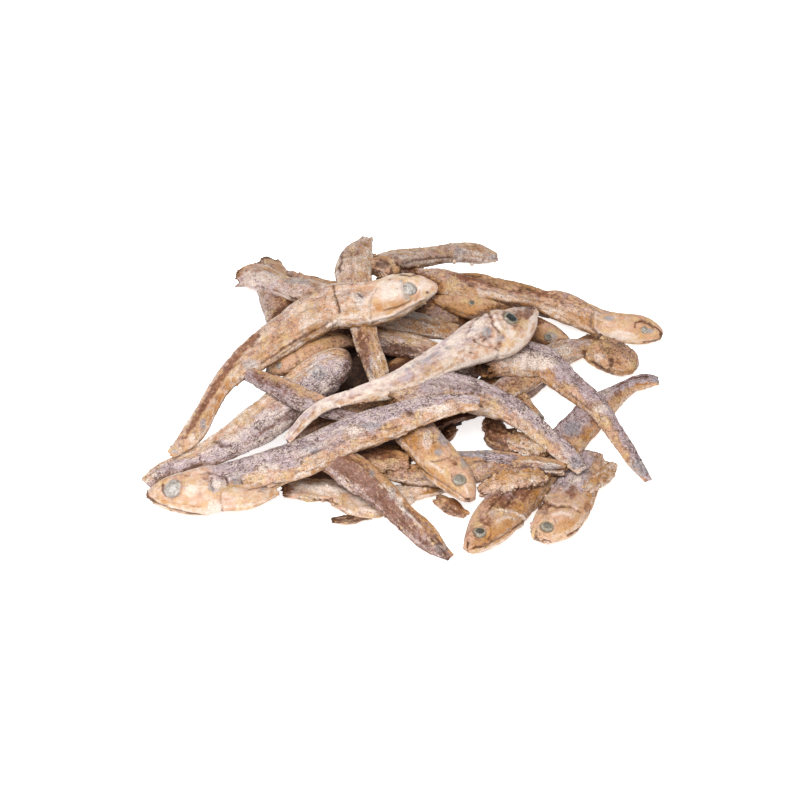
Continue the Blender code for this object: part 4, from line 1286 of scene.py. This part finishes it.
# The dark tail at the front
# A headless fish points down to the table at the front, its end streaked and grey. A wedge of
# dark flesh and a buried fish lie beside it.
fish_piece("front_tail_fish", [
    broken(15, 1, (0.0, 1.1, 0.0, 0.5, 1.8, 0.9), [(345, 452, 4), (375, 460, 6), (412, 462, 5)],
           [("brown", 8, (376, 452, 22, 10))]),
    broken(10, 1, (0.9, 0.3, 0.1, 0.9, 1.3, 0.6), [(458, 455, 1.5), (488, 457, 3), (522, 460, 3)],
           [("grey", 5, (476, 453, 22, 5)), ("line", 1.4, [(462, 458), (488, 460)])]),
    broken(15, 1, (0.60, 0.85, 0.42, 0.7, 1.0, 0.95), [
        (330, 460, 5.5), (352, 470, 8), (377, 489, 7), (400, 513, 6), (419, 530, 6),
        (432, 543, 5), (451, 558, 2)],
        [("red", 8, [(344, 462), (362, 478), (380, 496), (396, 514)]),
         ("red", 5, [(346, 464), (362, 478), (378, 494), (412, 526)]),
         ("lit_ridge", 1.3, [(338, 478), (356, 494), (376, 512), (398, 532)]),
         ("warm", 2.0, [(334, 470), (356, 490), (378, 510), (400, 530)]),
         ("lit_ridge", 1.2, [(352, 462), (374, 478), (396, 502), (414, 520)]),
         # The small pale spots and line down the middle are painted glints and highlights
         ("pale", 3, (381, 487, 2, 4)), ("pale", 3, (390, 497, 3, 3)), ("pale", 3, (370, 482, 2, 2)),
         ("pale", 2, [(384, 484), (402, 504), (420, 526)]), ("grey", 5, (392, 494, 5, 9)),
         ("pale", 5, (399, 510, 6, 8)), ("grey", 4, (372, 474, 4, 6)),
         ("grey", 6, (406, 514, 6, 9)), ("pale", 3, (400, 504, 3, 7)),
         ("warm", 6, (421, 532, 9, 8)), ("grey", 5, (442, 548, 8, 7)),
         ("line", 1.2, [(428, 536), (438, 545), (449, 556)]),
         ("line", 1.0, [(434, 534), (443, 544)])]),
])

# The stem at the back
# A headless fish stands up at the back of the heap and runs down under the others. It is pale,
# with a spotted left edge and a reddish tip.
fish_piece("back_stem_fish", [
    broken(20, 1, (0.3, 0.5, 0.95, 0.3, 0.8, 0.1), [
        (366, 241, 2.5), (358, 256, 7.5), (354, 272, 8.5), (357, 300, 7), (365, 335, 6),
        (375, 365, 5.5), (384, 392, 4)],
        [("warm", 4, (367, 244, 4, 6)), ("dark", 2.2, [(341, 249), (342, 260), (339, 270)]),
         ("grey", 4, (370, 366, 4, 14)), ("brown", 9, (364, 346, 9, 26)),
         ("brown", 3, [(358, 332), (364, 352), (372, 374)]),
         ("brown", 3, [(378, 332), (383, 352), (388, 374)]),
         ("shaded_crease", 1.5, [(352, 250), (351, 262), (354, 272)])]),
], BODY_GAP, BODY_SIDES)

# The bent fish at the right
# A headless fish bends down over the others to the right. Its back is grey-lilac, its lower edge
# yellow, and its tail end grey-green.
fish_piece("right_bent_fish", [
    broken(25, -1, (0.95, 0.45, 0.55, 1.2, 1.1, 0.40), [
        (486, 369, 4.5), (500, 362, 7.5), (520, 360, 9), (545, 364, 7.6), (567, 383, 6.6),
        (589, 400, 5.5), (602, 414, 5), (614, 431, 4.2), (627, 450, 3.7), (638, 467, 3.2),
        (649, 481, 1.8)],
        [("pale", 10, (528, 359, 30, 11)), ("pale", 6, (540, 364, 18, 7)),
         ("warm", 4, (545, 373, 16, 4)),
         ("line", 1.2, [(508, 354), (522, 353), (540, 358)]),
         ("brown", 7, (488, 373, 12, 9)), ("pale", 5, (601, 409, 7, 5)),
         ("grey", 6, (640, 467, 12, 12)), ("shaded_crease", 1.5, [(556, 386), (574, 398), (590, 410)]),
         ("warm", 3, [(540, 380), (562, 394), (586, 411)])]),
], BODY_GAP, BODY_SIDES)

# The fish with its head down at the front
# A whole body that comes from under the long fish and hangs over the front, head down. It is
# cream and tan, with pink lines along its jaw and a fold across its throat.
fish_piece("front_head_fish", [
    headed(12, 1, (0.4, 0.85, 0.42, 0.3, 0.9, 0.15), [
        (470, 500, 2.5), (466, 492, 5), (458, 481, 7.5), (441, 463, 9), (421, 438, 9),
        (405, 420, 8.5), (393, 400, 7), (384, 384, 5.5)],
        (459.3, 478.6, 7.6, 1.2),
        [("shaded_crease", 1.2, [(423, 461), (434, 461), (443, 459), (450, 457), (452, 454)]),
         ("brown", 1.6, [(427, 445), (437, 442), (446, 447)]), ("warm", 7, (437, 450, 9, 7)),
         ("grey", 4, (438, 452, 5, 4)), ("red", 4, (441, 469, 3, 3)),
         ("pale", 1.8, [(425, 461), (434, 465), (443, 471)]),
         ("lit_ridge", 1.3, [(398, 436), (411, 463), (423, 474), (437, 484), (449, 493), (462, 500)]),
         ("shaded_crease", 0.8, [(414, 463), (426, 473), (440, 482), (452, 490), (464, 498)]),
         ("brown", 1.4, [(418, 463), (430, 472), (444, 482), (456, 490)]),
         ("warm", 8, (409, 442, 10, 14)), ("pale", 5, (427, 440, 5, 12)),
         ("grey", 5, (444, 436, 7, 12)), ("grey", 5, (465, 460, 5, 10)), ("warm", 6, (437, 478, 9, 6)),
         ("brown", 1.2, [(451, 474), (453, 484), (460, 488)]), ("dark", 2.4, (468, 499, 4, 2)),
         ("pale", 1.8, [(464, 483), (467, 493)]), ("brown", 1.6, (455, 464, 3, 2)),
         ("brown", 4, (452, 463, 8, 5))]),
], HEAD_GAP, HEAD_SIDES)

# The headless fish across the middle
# It starts round and thick under the long fish and ends at the front right, pale lilac-grey and
# covered in fine dark specks.
fish_piece("right_mid_fish", [
    broken(25, -1, (0.95, 0.35, 0.75, 1.0, 1.0, 0.2), [
        (392, 396, 4.5), (415, 393, 8), (445, 391, 9), (475, 397, 8), (510, 410, 6.5),
        (539, 432, 5), (562, 451, 5), (583, 471, 3)],
        [("brown", 2.2, [(470, 414), (500, 421), (528, 438), (552, 458)]),
         ("shaded_crease", 1.6, [(430, 384), (460, 388), (488, 397), (512, 408)]),
         ("grey", 6, (575, 463, 9, 8))]),
], BODY_GAP, BODY_SIDES)

# The long whole fish at the front
# The largest fish, with a cloudy eye, a striped jaw and a lifted gill cover. Its back is speckled
# lilac-grey, its belly orange-cream, and a flap of belly skin has come loose behind the gills.
fish_piece("front_long_fish", [
    headed(30, -1, (0.95, 0.30, 0.72, 1.0, 0.9, 0.08), [
        (147, 494, 1.5), (158, 494, 5.5), (175, 493, 8.5), (205, 491, 11), (240, 480, 9.5),
        (300, 459, 8.5), (360, 432, 8.5), (420, 412, 6.5), (450, 405, 5), (468, 403, 4),
        (480, 404, 3)],
        (172.6, 487.9, 10.0, 0),
        [("gill", 9, [(222, 512), (226, 503), (229, 492), (230, 484), (226, 477)]),
         ("shaded_crease", 1.2, [(201, 473), (208, 471.5), (217, 474), (226, 477), (229, 487), (228, 492)]),
         ("brown", 1.6, [(203, 479), (212, 478), (223, 479)]),
         ("line", 0.9, [(211.5, 478), (211.5, 486), (214, 488)]), ("grey", 7, (216, 486, 10, 7)),
         ("pale", 4, (218, 485, 6, 4)), ("pale", 4, (215, 507, 8, 6)),
         ("lit_ridge", 1.0, [(206, 514), (212, 500), (224, 501), (220, 511), (206, 514)]),
         ("line", 0.9, [(148, 497), (155, 502), (168, 507.5), (186, 512), (201, 514.5)]),
         ("brown", 1.2, [(157, 499), (178, 504), (200, 507)]),
         ("warm", 4, [(158, 501), (178, 506), (200, 510)]), ("pale", 5, (191, 490, 8, 7)),
         ("dark", 1.8, [(147, 492), (148, 497), (153, 501)]), ("warm", 5, (163, 479, 6, 4)),
         ("brown", 2, (174.5, 485.5, 1.5, 1)), ("dark", 1.2, [(163, 484), (162, 491), (166, 496)]),
         ("grey", 5, (238, 481, 7, 7)), ("dark", 1.0, [(240, 478), (243, 485), (247, 488)]),
         ("line", 1.0, [(245, 488), (257, 489), (271, 483), (284, 483)]),
         ("grey", 5, (310, 450, 10, 4)), ("grey", 5, (370, 425, 14, 4)), ("dark", 4, (409, 414, 5, 3)),
         # The long pale marks along the body are painted highlights
         ("pale", 5, (352, 430, 16, 5)), ("pale", 5, (440, 409, 16, 4)), ("pale", 4, (268, 466, 12, 5)),
         ("warm", 4, [(290, 480), (330, 463), (380, 440), (420, 426)]),
         ("brown", 4, (392, 428, 12, 4)), ("warm", 5, (465, 407, 12, 5)),
         ("lit_ridge", 1.1, [(286, 487), (320, 474), (360, 455), (400, 436), (440, 424), (470, 419)]),
         ("shaded_crease", 1.4, [(262, 470), (300, 458), (350, 438)])]),
    dict(broken(20, 1, (0.1, 0.35, 0.75, -0.8, 0.5, 0.0),
                [(222, 499, 5.6), (249, 496, 5.8), (278, 490, 2.4)],
                [("line", 1.0, [(250, 489), (262, 486), (274, 484)]), ("grey", 3, (263, 489, 4, 3)),
                 ("brown", 1.0, [(258, 491), (264, 493), (268, 489)]),
                 ("warm", 5, (272, 493, 8, 5))]), start="whole"),
], HEAD_GAP, HEAD_SIDES)

# The whole fish at the top left
# It lies over the heap with its pale head at the middle and its tail down at the left. The skin
# is cracked across behind the gills, the jaw is orange and the back has a brown stripe.
fish_piece("top_left_fish", [
    headed(30, 1, (0.30, 0.65, 0.82, -0.30, 0.8, 0.25), [
        (437, 288, 2), (426, 289, 5.5), (408, 292, 9), (385, 301, 10), (360, 306, 10.5),
        (335, 306, 10.5), (312, 317, 10), (290, 331, 9.5), (261, 351, 8.5), (239, 367, 6.5),
        (220, 387, 5), (206, 412, 4.9), (191, 436, 5), (170, 455, 2.2)],
        (409, 287.5, 8.5, 0),
        [("gill", 8, [(390, 278), (378, 286), (372, 296), (369, 308), (371, 321)]),
         ("pale", 9, (392, 291, 17, 11)), ("pale", 5, (425, 286, 8, 6)),
         ("grey", 3, [(401, 281), (401, 292), (408, 298)]),
         ("warm", 4, [(371, 307), (386, 308), (398, 306)]),
         ("warm", 5, (378, 309, 10, 5)), ("line", 0.9, [(384, 310), (398, 307), (412, 300)]),
         ("lit_ridge", 1.6, [(371, 321), (390, 316), (408, 306), (424, 298)]),
         ("lit_ridge", 1.4, [(352, 292), (358, 306), (366, 316), (371, 321)]),
         ("grey", 5, (360, 300, 6, 9)), ("dark", 1.0, [(357, 293), (363, 299)]),
         ("warm", 6, (346, 303, 5, 10)),
         ("shaded_crease", 1.2, [(331, 283), (335, 291), (337, 302), (339, 313)]),
         ("line", 1.0, [(331, 283), (335, 290), (336, 296), (339, 306), (339, 313)]),
         ("line", 1.0, [(328, 320), (325, 329)]), ("warm", 5, (355, 322, 14, 5)),
         ("pale", 3, [(330, 326), (342, 318), (354, 316)]), ("red", 3, (366, 328, 4, 3)),
         ("line", 1.0, [(400, 274), (410, 276), (418, 274), (425, 271)]),
         ("dark", 1.6, (427, 292, 2, 2)), ("dark", 1.6, (397, 289, 2, 2)),
         ("brown", 4.0, [(262, 330), (243, 347), (222, 375), (208, 398), (196, 420)]),
         ("red", 2.6, [(255, 336), (236, 357), (216, 386), (200, 412), (186, 436)]),
         ("grey", 4, (250, 364, 10, 6)), ("grey", 4, (203, 424, 4, 7)), ("warm", 4, (232, 383, 7, 5)),
         ("warm", 3, [(232, 384), (216, 405), (205, 428)]), ("pale", 4, (192, 438, 4, 5)),
         ("grey", 5, (174, 452, 5, 3)), ("brown", 3, [(330, 325), (300, 340), (272, 356)]),
         ("shaded_crease", 1.4, [(316, 330), (290, 344), (262, 364)])]),
], HEAD_GAP, HEAD_SIDES)

# The pale whole fish on top
# It lies over all the others, its head to the right. The eye is dark and open, brown and grey
# show through the thin skin of the head, and the body is smooth and nearly white.
fish_piece("pale_top_fish", [
    headed(38, 1, (0.7, 0.0, 1.2, -0.8, 0.5, 0.0), [
        (536, 311, 2), (530, 314, 4.2), (523, 320, 7.3), (511, 329, 10.3), (498, 334, 11.3),
        (474, 343, 9.8),
        (445, 358, 7.5), (413, 376, 6.5), (383, 389, 5.5), (352, 397, 3.5), (325, 405, 3),
        (307, 418, 3), (286, 441, 2)],
        (510.8, 317.5, 9.4, 3),
        [("brown", 9, (504, 325, 28, 19)), ("brown", 6, (525, 311, 12, 8)),
         ("brown", 3, [(468, 324), (480, 312), (497, 307)]), ("brown", 5, (478, 338, 12, 6)),
         ("shaded_crease", 0.9, [(466, 334), (470, 326), (478, 317), (488, 311)]),
         ("grey", 5, (476, 327, 5, 5)),
         ("grey", 6, (487, 333, 6, 7)), ("grey", 4, (476, 328, 4, 4)), ("grey", 5, (486, 333, 4, 5)),
         ("shaded_crease", 0.9, [(488, 311), (492, 318), (494, 326), (500, 333)]),
         ("shaded_crease", 0.9, [(474, 341), (482, 344), (491, 348), (499, 351)]),
         ("brown", 3, (499, 346, 6, 5)),
         ("lit_ridge", 1.6, [(494, 314), (500, 328), (511, 338), (523, 340)]),
         ("pale", 2.6, [(532, 318), (528, 334), (521, 344), (511, 354), (500, 358), (484, 361)]),
         ("pale", 2.6, [(484, 361), (460, 368), (430, 380)]),
         ("dark", 1.8, [(516, 306), (524, 305), (534, 308)]), ("brown", 4, (529, 314, 5, 7)),
         ("grey", 4, (501, 338, 6, 4)), ("pale", 5, (512, 333, 5, 4)),
         ("line", 0.8, [(462, 345), (465, 349)]), ("line", 0.8, [(470, 352), (475, 354)]),
         ("brown", 1.8, [(460, 366), (430, 382), (400, 396), (350, 404)]),
         ("grey", 3, [(455, 344), (425, 359), (395, 373)]),
         ("warm", 4, (299, 428, 7, 4))]),
], HEAD_GAP, HEAD_SIDES)

# The eyes
# Dried eyes, shrunk flat in their sockets on both sides of a head. Some are clouded white, some
# grey-green, and on the top fish the pupil is still dark with a wet glint.
EYE_RINGS = 14
EYE_SIDES = 32
EYE_HEIGHT = 0.44              # how far an eye bulges, over its radius
EYE_SINK = 0.34                # how deep its middle lies, over its radius
EYE_WIDTH = 0.98
EYE_UNEVENNESS = 0.10
EYE_POLE = 0.02                # how far from the middle of the dome its last ring is, in radians
DARKEST = 3                    # the style of the darkest eye
CLOUD = (0.42, 0.385, 0.365, 1)
CLOUD_SHADE = (0.27, 0.235, 0.205, 1)
IRIS = (0.17, 0.145, 0.085, 1)
PUPIL = (0.014, 0.015, 0.014, 1)
OLIVE = (0.30, 0.25, 0.16, 1)
RIM = (0.11, 0.065, 0.038, 1)


def eye_surface(middle, outward, lengthways, radius, style):
    """A flat closed dome, with how far out each point is and the look of the eye."""
    across = np.cross(outward, lengthways)
    across /= np.linalg.norm(across)
    lengthways = np.cross(across, outward)
    lifts = np.linspace(EYE_POLE, math.pi - EYE_POLE, EYE_RINGS)
    turns = np.linspace(0, 2 * math.pi, EYE_SIDES, endpoint=False)
    lift, turn = np.meshgrid(lifts, turns, indexing="ij")
    shrunk = noise(np.stack([np.cos(turn) * 2, np.sin(turn) * 2, lift + middle[0]], -1))
    uneven = 1 + EYE_UNEVENNESS * shrunk
    flat = (np.sin(lift) * radius * EYE_WIDTH * uneven)[..., None]
    height = (np.cos(lift) * radius * EYE_HEIGHT * uneven)[..., None]
    points = (middle - outward * EYE_SINK * radius + flat * np.cos(turn)[..., None] * lengthways
              + flat * np.sin(turn)[..., None] * across + height * outward)
    look = np.stack([np.sin(lift), 0 * lift + style / DARKEST, turn / (2 * math.pi)], axis=-1)
    return points.reshape(-1, 3), closed_tube(points), {"eye": look.reshape(-1, 3)}


def cloudy_colour(nodes, style, reach, cloud, fleck):
    """A clouded white or grey-green eye with brown flecks and a faint ring."""
    white = nodes.blend(nodes.step(cloud, 0.40, 0.60), CLOUD, CLOUD_SHADE)
    white = nodes.blend(nodes.step(style, 0.2, 0.5, 0.0, 0.65), white, OLIVE)
    white = nodes.blend(nodes.step(fleck, 0.56, 0.68, 0.0, 0.7), white, RIM)
    ring = nodes.step(nodes.away(reach, 0.52), 0.16, 0.04)
    return nodes.blend(nodes.times(ring, 0.45), white, IRIS)


def dried_eye():
    """A clouded or dark eye: pupil, iris and rim by distance from the middle."""
    nodes = Material("dried_eye")
    place = nodes.place()
    look = nodes.stored("eye", "Vector")
    reach, style, _ = nodes.add("ShaderNodeSeparateXYZ", {0: look}).outputs
    cloud = nodes.grain(place, 0.0011)
    fleck = nodes.grain(place, 0.0005)
    reach = nodes.plus(reach, nodes.times(nodes.sum("SUBTRACT", cloud, 0.5), 0.5))
    iris = nodes.blend(nodes.step(fleck, 0.45, 0.65, 0.0, 0.8), IRIS, CLOUD)
    dark = nodes.blend(nodes.step(reach, 0.50, 0.66), PUPIL, iris)
    dark = nodes.blend(nodes.step(fleck, 0.62, 0.70, 0.0, 0.45), dark, CLOUD)
    white = cloudy_colour(nodes, style, reach, cloud, fleck)
    colour = nodes.blend(nodes.step(style, 0.10, 0.75), white, dark)
    rim = nodes.times(nodes.step(reach, 0.72, 0.90), nodes.step(style, 0.0, 0.8, 0.30, 0.85))
    nodes.join("Base Color", nodes.blend(rim, colour, RIM))
    nodes.shader.inputs["Roughness"].default_value = 0.32
    nodes.join("Normal", nodes.bumps(nodes.plus(cloud, fleck), 0.00025, 0.7))
    return nodes.material


place_in_heap(joined("fish_eyes", [eye_surface(*eye) for eye in all_eyes]), dried_eye())

# The painted shade, flakes, crumbs and fine bones
# Skin that lies deeper than what is around it is darkened, warmed and reddened as painted shade,
# most where it faces the camera. Flakes of dried skin lie on the fish, nubbly crumbs stick to the
# torn ones, and fine bones stick out. Each is coloured like the skin under it.
FLAKES = 2600
FLAKE_SIZE = 0.34              # half the length of a common flake
FLAKE_SHAPE = (1.0, 0.62, 0.20)
FLAKE_TILT = 0.25
FLAKE_LIFT = 0.00002
CRUMBS = 760
CRUMB_HALF = 0.62
CRUMB_SHAPE = (1.0, 0.8, 0.7)
BONES = 150
BONE_LENGTH = 1.1
BONE_SHAPE = (0.06, 0.06, 1.0)
BONE_TILT = 0.5
STUCK_LIFT = -0.0001           # crumbs and bones start a little under the skin
CLEAR = 1.2                    # how far from the box of the heap all of them stay
FULL_TURN = 6.3
SKIN_VALUES = {"position": 3, "skin": 3, "marks": 4, "form": 3, "stain": 1}

SHADE_REACH = 3                 # cells on each side that a place's surroundings take in
SHADE_BLURS = 2
SHADE_DEPTHS = (0.7, 4.8)       # how far below its surroundings the skin starts and ends browning
SHADE_DARKNESS = 0.74
SHADE_WARMTH = 0.85
SHADE_STAIN = 0.60
SHADE_GREY_LOSS = 0.85
SHADE_PALE_LOSS = 0.6
UNSEEN_SHADE = 0.3              # the share of the browning on skin that faces away from the camera
# How often a crumb lies on a place of each torn piece
CRUMB_SHARES = {"torn_scraps": 1, "crumb_clusters": 22, "front_scraps": 1, "front_stub_fish": 1,
                "back_broken_fish": 1.5}
# How much of the painted shade some pieces take
SHADE_SHARES = {"centre_fish": 0.1, "left_mid_fish": 0.6, "front_scraps": 0.1,
               "back_broken_fish": 0.5, "crumb_clusters": 0.2, "right_pink_fish": 0.5,
               "left_back_fish": 0.5, "back_stem_fish": 0.6}


def skin_values(piece):
    """A fish piece's places, outward directions and stored values, point by point."""
    data = piece.data
    count = len(data.vertices)
    values = {}
    for label, width in SKIN_VALUES.items():
        flat = np.zeros(count * width, np.float32)
        data.attributes[label].data.foreach_get(VALUE_KINDS[width][1], flat)
        values[label] = flat.reshape(count, width)
    outward = np.zeros(count * 3, np.float32)
    data.vertex_normals.foreach_get("vector", outward)
    values["outward"] = outward.reshape(count, 3)
    return values


def blurred(heights):
    """The mean height around each cell of the record of the heap."""
    window = 2 * SHADE_REACH + 1
    for _ in range(2 * SHADE_BLURS):
        summed = np.cumsum(np.pad(heights, ((SHADE_REACH + 1, SHADE_REACH), (0, 0))), axis=0)
        heights = ((summed[window:] - summed[:-window]) / window).T
    return heights


def paint_shade_on_deep_skin(name, piece, near_top):
    """Paints shade on a piece where it lies deeper than what is around it: darker, warmer and redder."""
    values = skin_values(piece)
    marks, form, stain = values["marks"], values["form"], values["stain"]
    places = values["position"] / MM
    cells = np.round(seen_at(places) / CELL).astype(int)
    deep = near_top[cells[:, 1], cells[:, 0]] - places[:, 2]
    facing = np.sum(values["outward"] * (EYE - places), axis=1) / EYE_DISTANCE
    facing = UNSEEN_SHADE + (1 - UNSEEN_SHADE) * smooth_step(facing, -0.3, 0.2)
    share = smooth_step(deep, *SHADE_DEPTHS) * SHADE_SHARES.get(name, 1) * facing
    marks[:, 0] = np.clip(marks[:, 0] + SHADE_DARKNESS * share, 0, 1)
    marks[:, 1] *= 1 - SHADE_PALE_LOSS * share
    marks[:, 2] = np.clip(marks[:, 2] + SHADE_WARMTH * share, 0, 1)
    form[:, 0] *= 1 - SHADE_GREY_LOSS * share
    stain[:, 0] = np.clip(stain[:, 0] + SHADE_STAIN * share, 0, 1)
    store(piece.data, {"marks": marks, "form": form, "stain": stain})


def gathered(names):
    """The values of several pieces, point by point, without those near the edge of the box."""
    pieces = []
    for name in names:
        values = skin_values(finished_skins[name])
        values["share"] = np.full(len(values["stain"]), CRUMB_SHARES.get(name, 0.0))
        pieces.append(values)
    places = np.concatenate([values["position"] for values in pieces]) / MM
    inside = np.all((places > BOX_LOW + CLEAR) & (places < BOX_HIGH - CLEAR), axis=1)
    return {label: np.concatenate([values[label] for values in pieces])[inside]
            for label in pieces[0]}


def scatter_tree(name, shape, settings):
    """A tree that puts one small shape on every point of a mesh, turned and sized by the point."""
    tree = bpy.data.node_groups.new(name, "GeometryNodeTree")
    for label, kind in (("Points", "Geometry"), ("Size", "Float"), ("Shape", "Vector"),
                        ("Material", "Material")):
        tree.interface.new_socket(label, in_out="INPUT", socket_type="NodeSocket" + kind)
    tree.interface.new_socket("Geometry", in_out="OUTPUT", socket_type="NodeSocketGeometry")
    nodes = Nodes(tree)
    points, size, form, material, _ = nodes.add("NodeGroupInput").outputs
    small = nodes.add(shape, settings).outputs["Mesh"]
    formed = nodes.add("GeometryNodeTransform", {"Geometry": small, "Scale": form}).outputs[0]
    turn = nodes.add("GeometryNodeInputNamedAttribute", {"Name": "turn"}, data_type="FLOAT_VECTOR")
    own_size = nodes.add("GeometryNodeInputNamedAttribute", {"Name": "size"}, data_type="FLOAT")
    turned = nodes.add("FunctionNodeEulerToRotation", {0: turn.outputs["Attribute"]})
    sized = nodes.add("ShaderNodeMath", {0: own_size.outputs["Attribute"], 1: size},
                      operation="MULTIPLY")
    placed = nodes.add("GeometryNodeInstanceOnPoints", {
        "Points": points, "Instance": formed, "Rotation": turned.outputs[0],
        "Scale": sized.outputs[0]})
    real = nodes.add("GeometryNodeRealizeInstances", {"Geometry": placed.outputs[0]})
    covered = nodes.add("GeometryNodeSetMaterial", {"Geometry": real.outputs[0],
                                                    "Material": material})
    nodes.add("NodeGroupOutput", {"Geometry": covered.outputs[0]})
    return tree


def scatter(name, small, size, form, values, chosen, turns, sizes, lift):
    """Small shapes on chosen points of the skins, made one plain mesh."""
    host = bpy.data.meshes.new(name + "_points")
    places = values["position"][chosen] + values["outward"][chosen] * lift
    host.from_pydata(places.tolist(), [], [])
    store(host, {label: values[label][chosen] for label in ("skin", "marks", "form", "stain")})
    store(host, {"turn": turns, "size": sizes[:, None]})
    points = bpy.data.objects.new(name + "_points", host)
    bpy.context.scene.collection.objects.link(points)
    nodes = points.modifiers.new("scatter", "NODES")
    nodes.node_group = scatter_tree(name, *small)
    given = {item.name: item.identifier for item in nodes.node_group.interface.items_tree
             if item.in_out == "INPUT"}
    nodes[given["Size"]] = size * MM
    nodes[given["Shape"]] = form
    nodes[given["Material"]] = skin_material
    bpy.context.view_layer.update()
    ready = points.evaluated_get(bpy.context.evaluated_depsgraph_get())
    data = bpy.data.meshes.new_from_object(ready)
    points.modifiers.remove(nodes)
    bpy.data.objects.remove(points, do_unlink=True)
    data.name = name
    data.materials.clear()
    piece = bpy.data.objects.new(name, data)
    bpy.context.scene.collection.objects.link(piece)
    place_in_heap(piece, skin_material)


def outward_turns(outward, tilt, count):
    """Euler turns that point a shape's own upward direction nearly along each outward one."""
    outward = outward + draw.normal(0, tilt, (count, 3))
    spin = draw.uniform(0, FULL_TURN, count)
    turns = np.zeros((count, 3), np.float32)
    for index, direction in enumerate(outward):
        turned = Vector(direction).to_track_quat("Z", "Y").to_matrix()
        turns[index] = (turned @ Matrix.Rotation(spin[index], 3, "Z")).to_euler()
    return turns


# Painted shade on skin that lies deep among the others
near_top = blurred(heap)
for name, piece in finished_skins.items():
    paint_shade_on_deep_skin(name, piece, near_top)

draw = np.random.default_rng(41)
every = gathered([name for name in finished_skins if name != "buried_fish"])
torn = gathered([name for name in finished_skins if name in CRUMB_SHARES])
ball = ("GeometryNodeMeshIcoSphere", {"Subdivisions": 1})
needle = ("GeometryNodeMeshCone", {"Vertices": 5, "Radius Bottom": 1.0, "Depth": 1.0})

weight = 0.15 + every["marks"][:, 0] + 1.5 * every["form"][:, 1]
weight = weight / weight.sum()
chosen = draw.choice(len(weight), FLAKES, replace=False, p=weight)
turns = outward_turns(every["outward"][chosen], FLAKE_TILT, FLAKES)
sizes = draw.lognormal(-0.1, 0.4, FLAKES).clip(0.3, 2.0)
scatter("skin_flakes", ball, FLAKE_SIZE, FLAKE_SHAPE, every, chosen, turns, sizes, FLAKE_LIFT)

share = torn["share"] / torn["share"].sum()
chosen = draw.choice(len(share), CRUMBS, replace=False, p=share)
turns = draw.uniform(0, FULL_TURN, (CRUMBS, 3))
sizes = draw.lognormal(-0.2, 0.35, CRUMBS).clip(0.3, 1.6)
scatter("flesh_crumbs", ball, CRUMB_HALF, CRUMB_SHAPE, torn, chosen, turns, sizes, STUCK_LIFT)

chosen = draw.choice(len(weight), BONES, replace=False, p=weight)
turns = outward_turns(every["outward"][chosen], BONE_TILT, BONES)
sizes = draw.uniform(0.4, 1.3, BONES)
scatter("fine_bones", needle, BONE_LENGTH, BONE_SHAPE, every, chosen, turns, sizes, STUCK_LIFT)

# The table and the light
# A pale matt table, lit softly from all round and more from high in front, a little to the left.
TABLE = (0.93, 0.93, 0.93, 1)
TABLE_GLOW = 0.71
TABLE_HALF = 3.0
WHITE = (1, 1, 1, 1)
SKY_STRENGTH = 0.42
KEY_POWER = 13.1
KEY_PLACE = Vector((-0.16, -0.50, 0.80))
KEY_SIZE = 0.6

table_nodes = Material("pale_table")
for socket, value in (("Base Color", TABLE), ("Roughness", 0.9), ("Emission Color", WHITE),
                      ("Emission Strength", TABLE_GLOW)):
    table_nodes.shader.inputs[socket].default_value = value
corners = [(-1, -1), (1, -1), (1, 1), (-1, 1)]
table_mesh = bpy.data.meshes.new("table_top")
table_mesh.from_pydata([(TABLE_HALF * right, TABLE_HALF * back, 0) for right, back in corners],
                       [], [(0, 1, 2, 3)])
table_mesh.materials.append(table_nodes.material)
table = bpy.data.objects.new("table_top", table_mesh)
bpy.context.scene.collection.objects.link(table)

world = bpy.data.worlds.new("soft_studio")
world.use_nodes = True
sky = world.node_tree.nodes["Background"].inputs
sky["Color"].default_value = WHITE
sky["Strength"].default_value = SKY_STRENGTH
bpy.context.scene.world = world

key = bpy.data.objects.new("key_light", bpy.data.lights.new("key_light", "AREA"))
key.data.energy = KEY_POWER
key.data.size = KEY_SIZE
key.location = KEY_PLACE
key.rotation_euler = (-KEY_PLACE).to_track_quat("-Z", "Y").to_euler()
bpy.context.scene.collection.objects.link(key)
bpy.context.scene.view_settings.view_transform = "Standard"
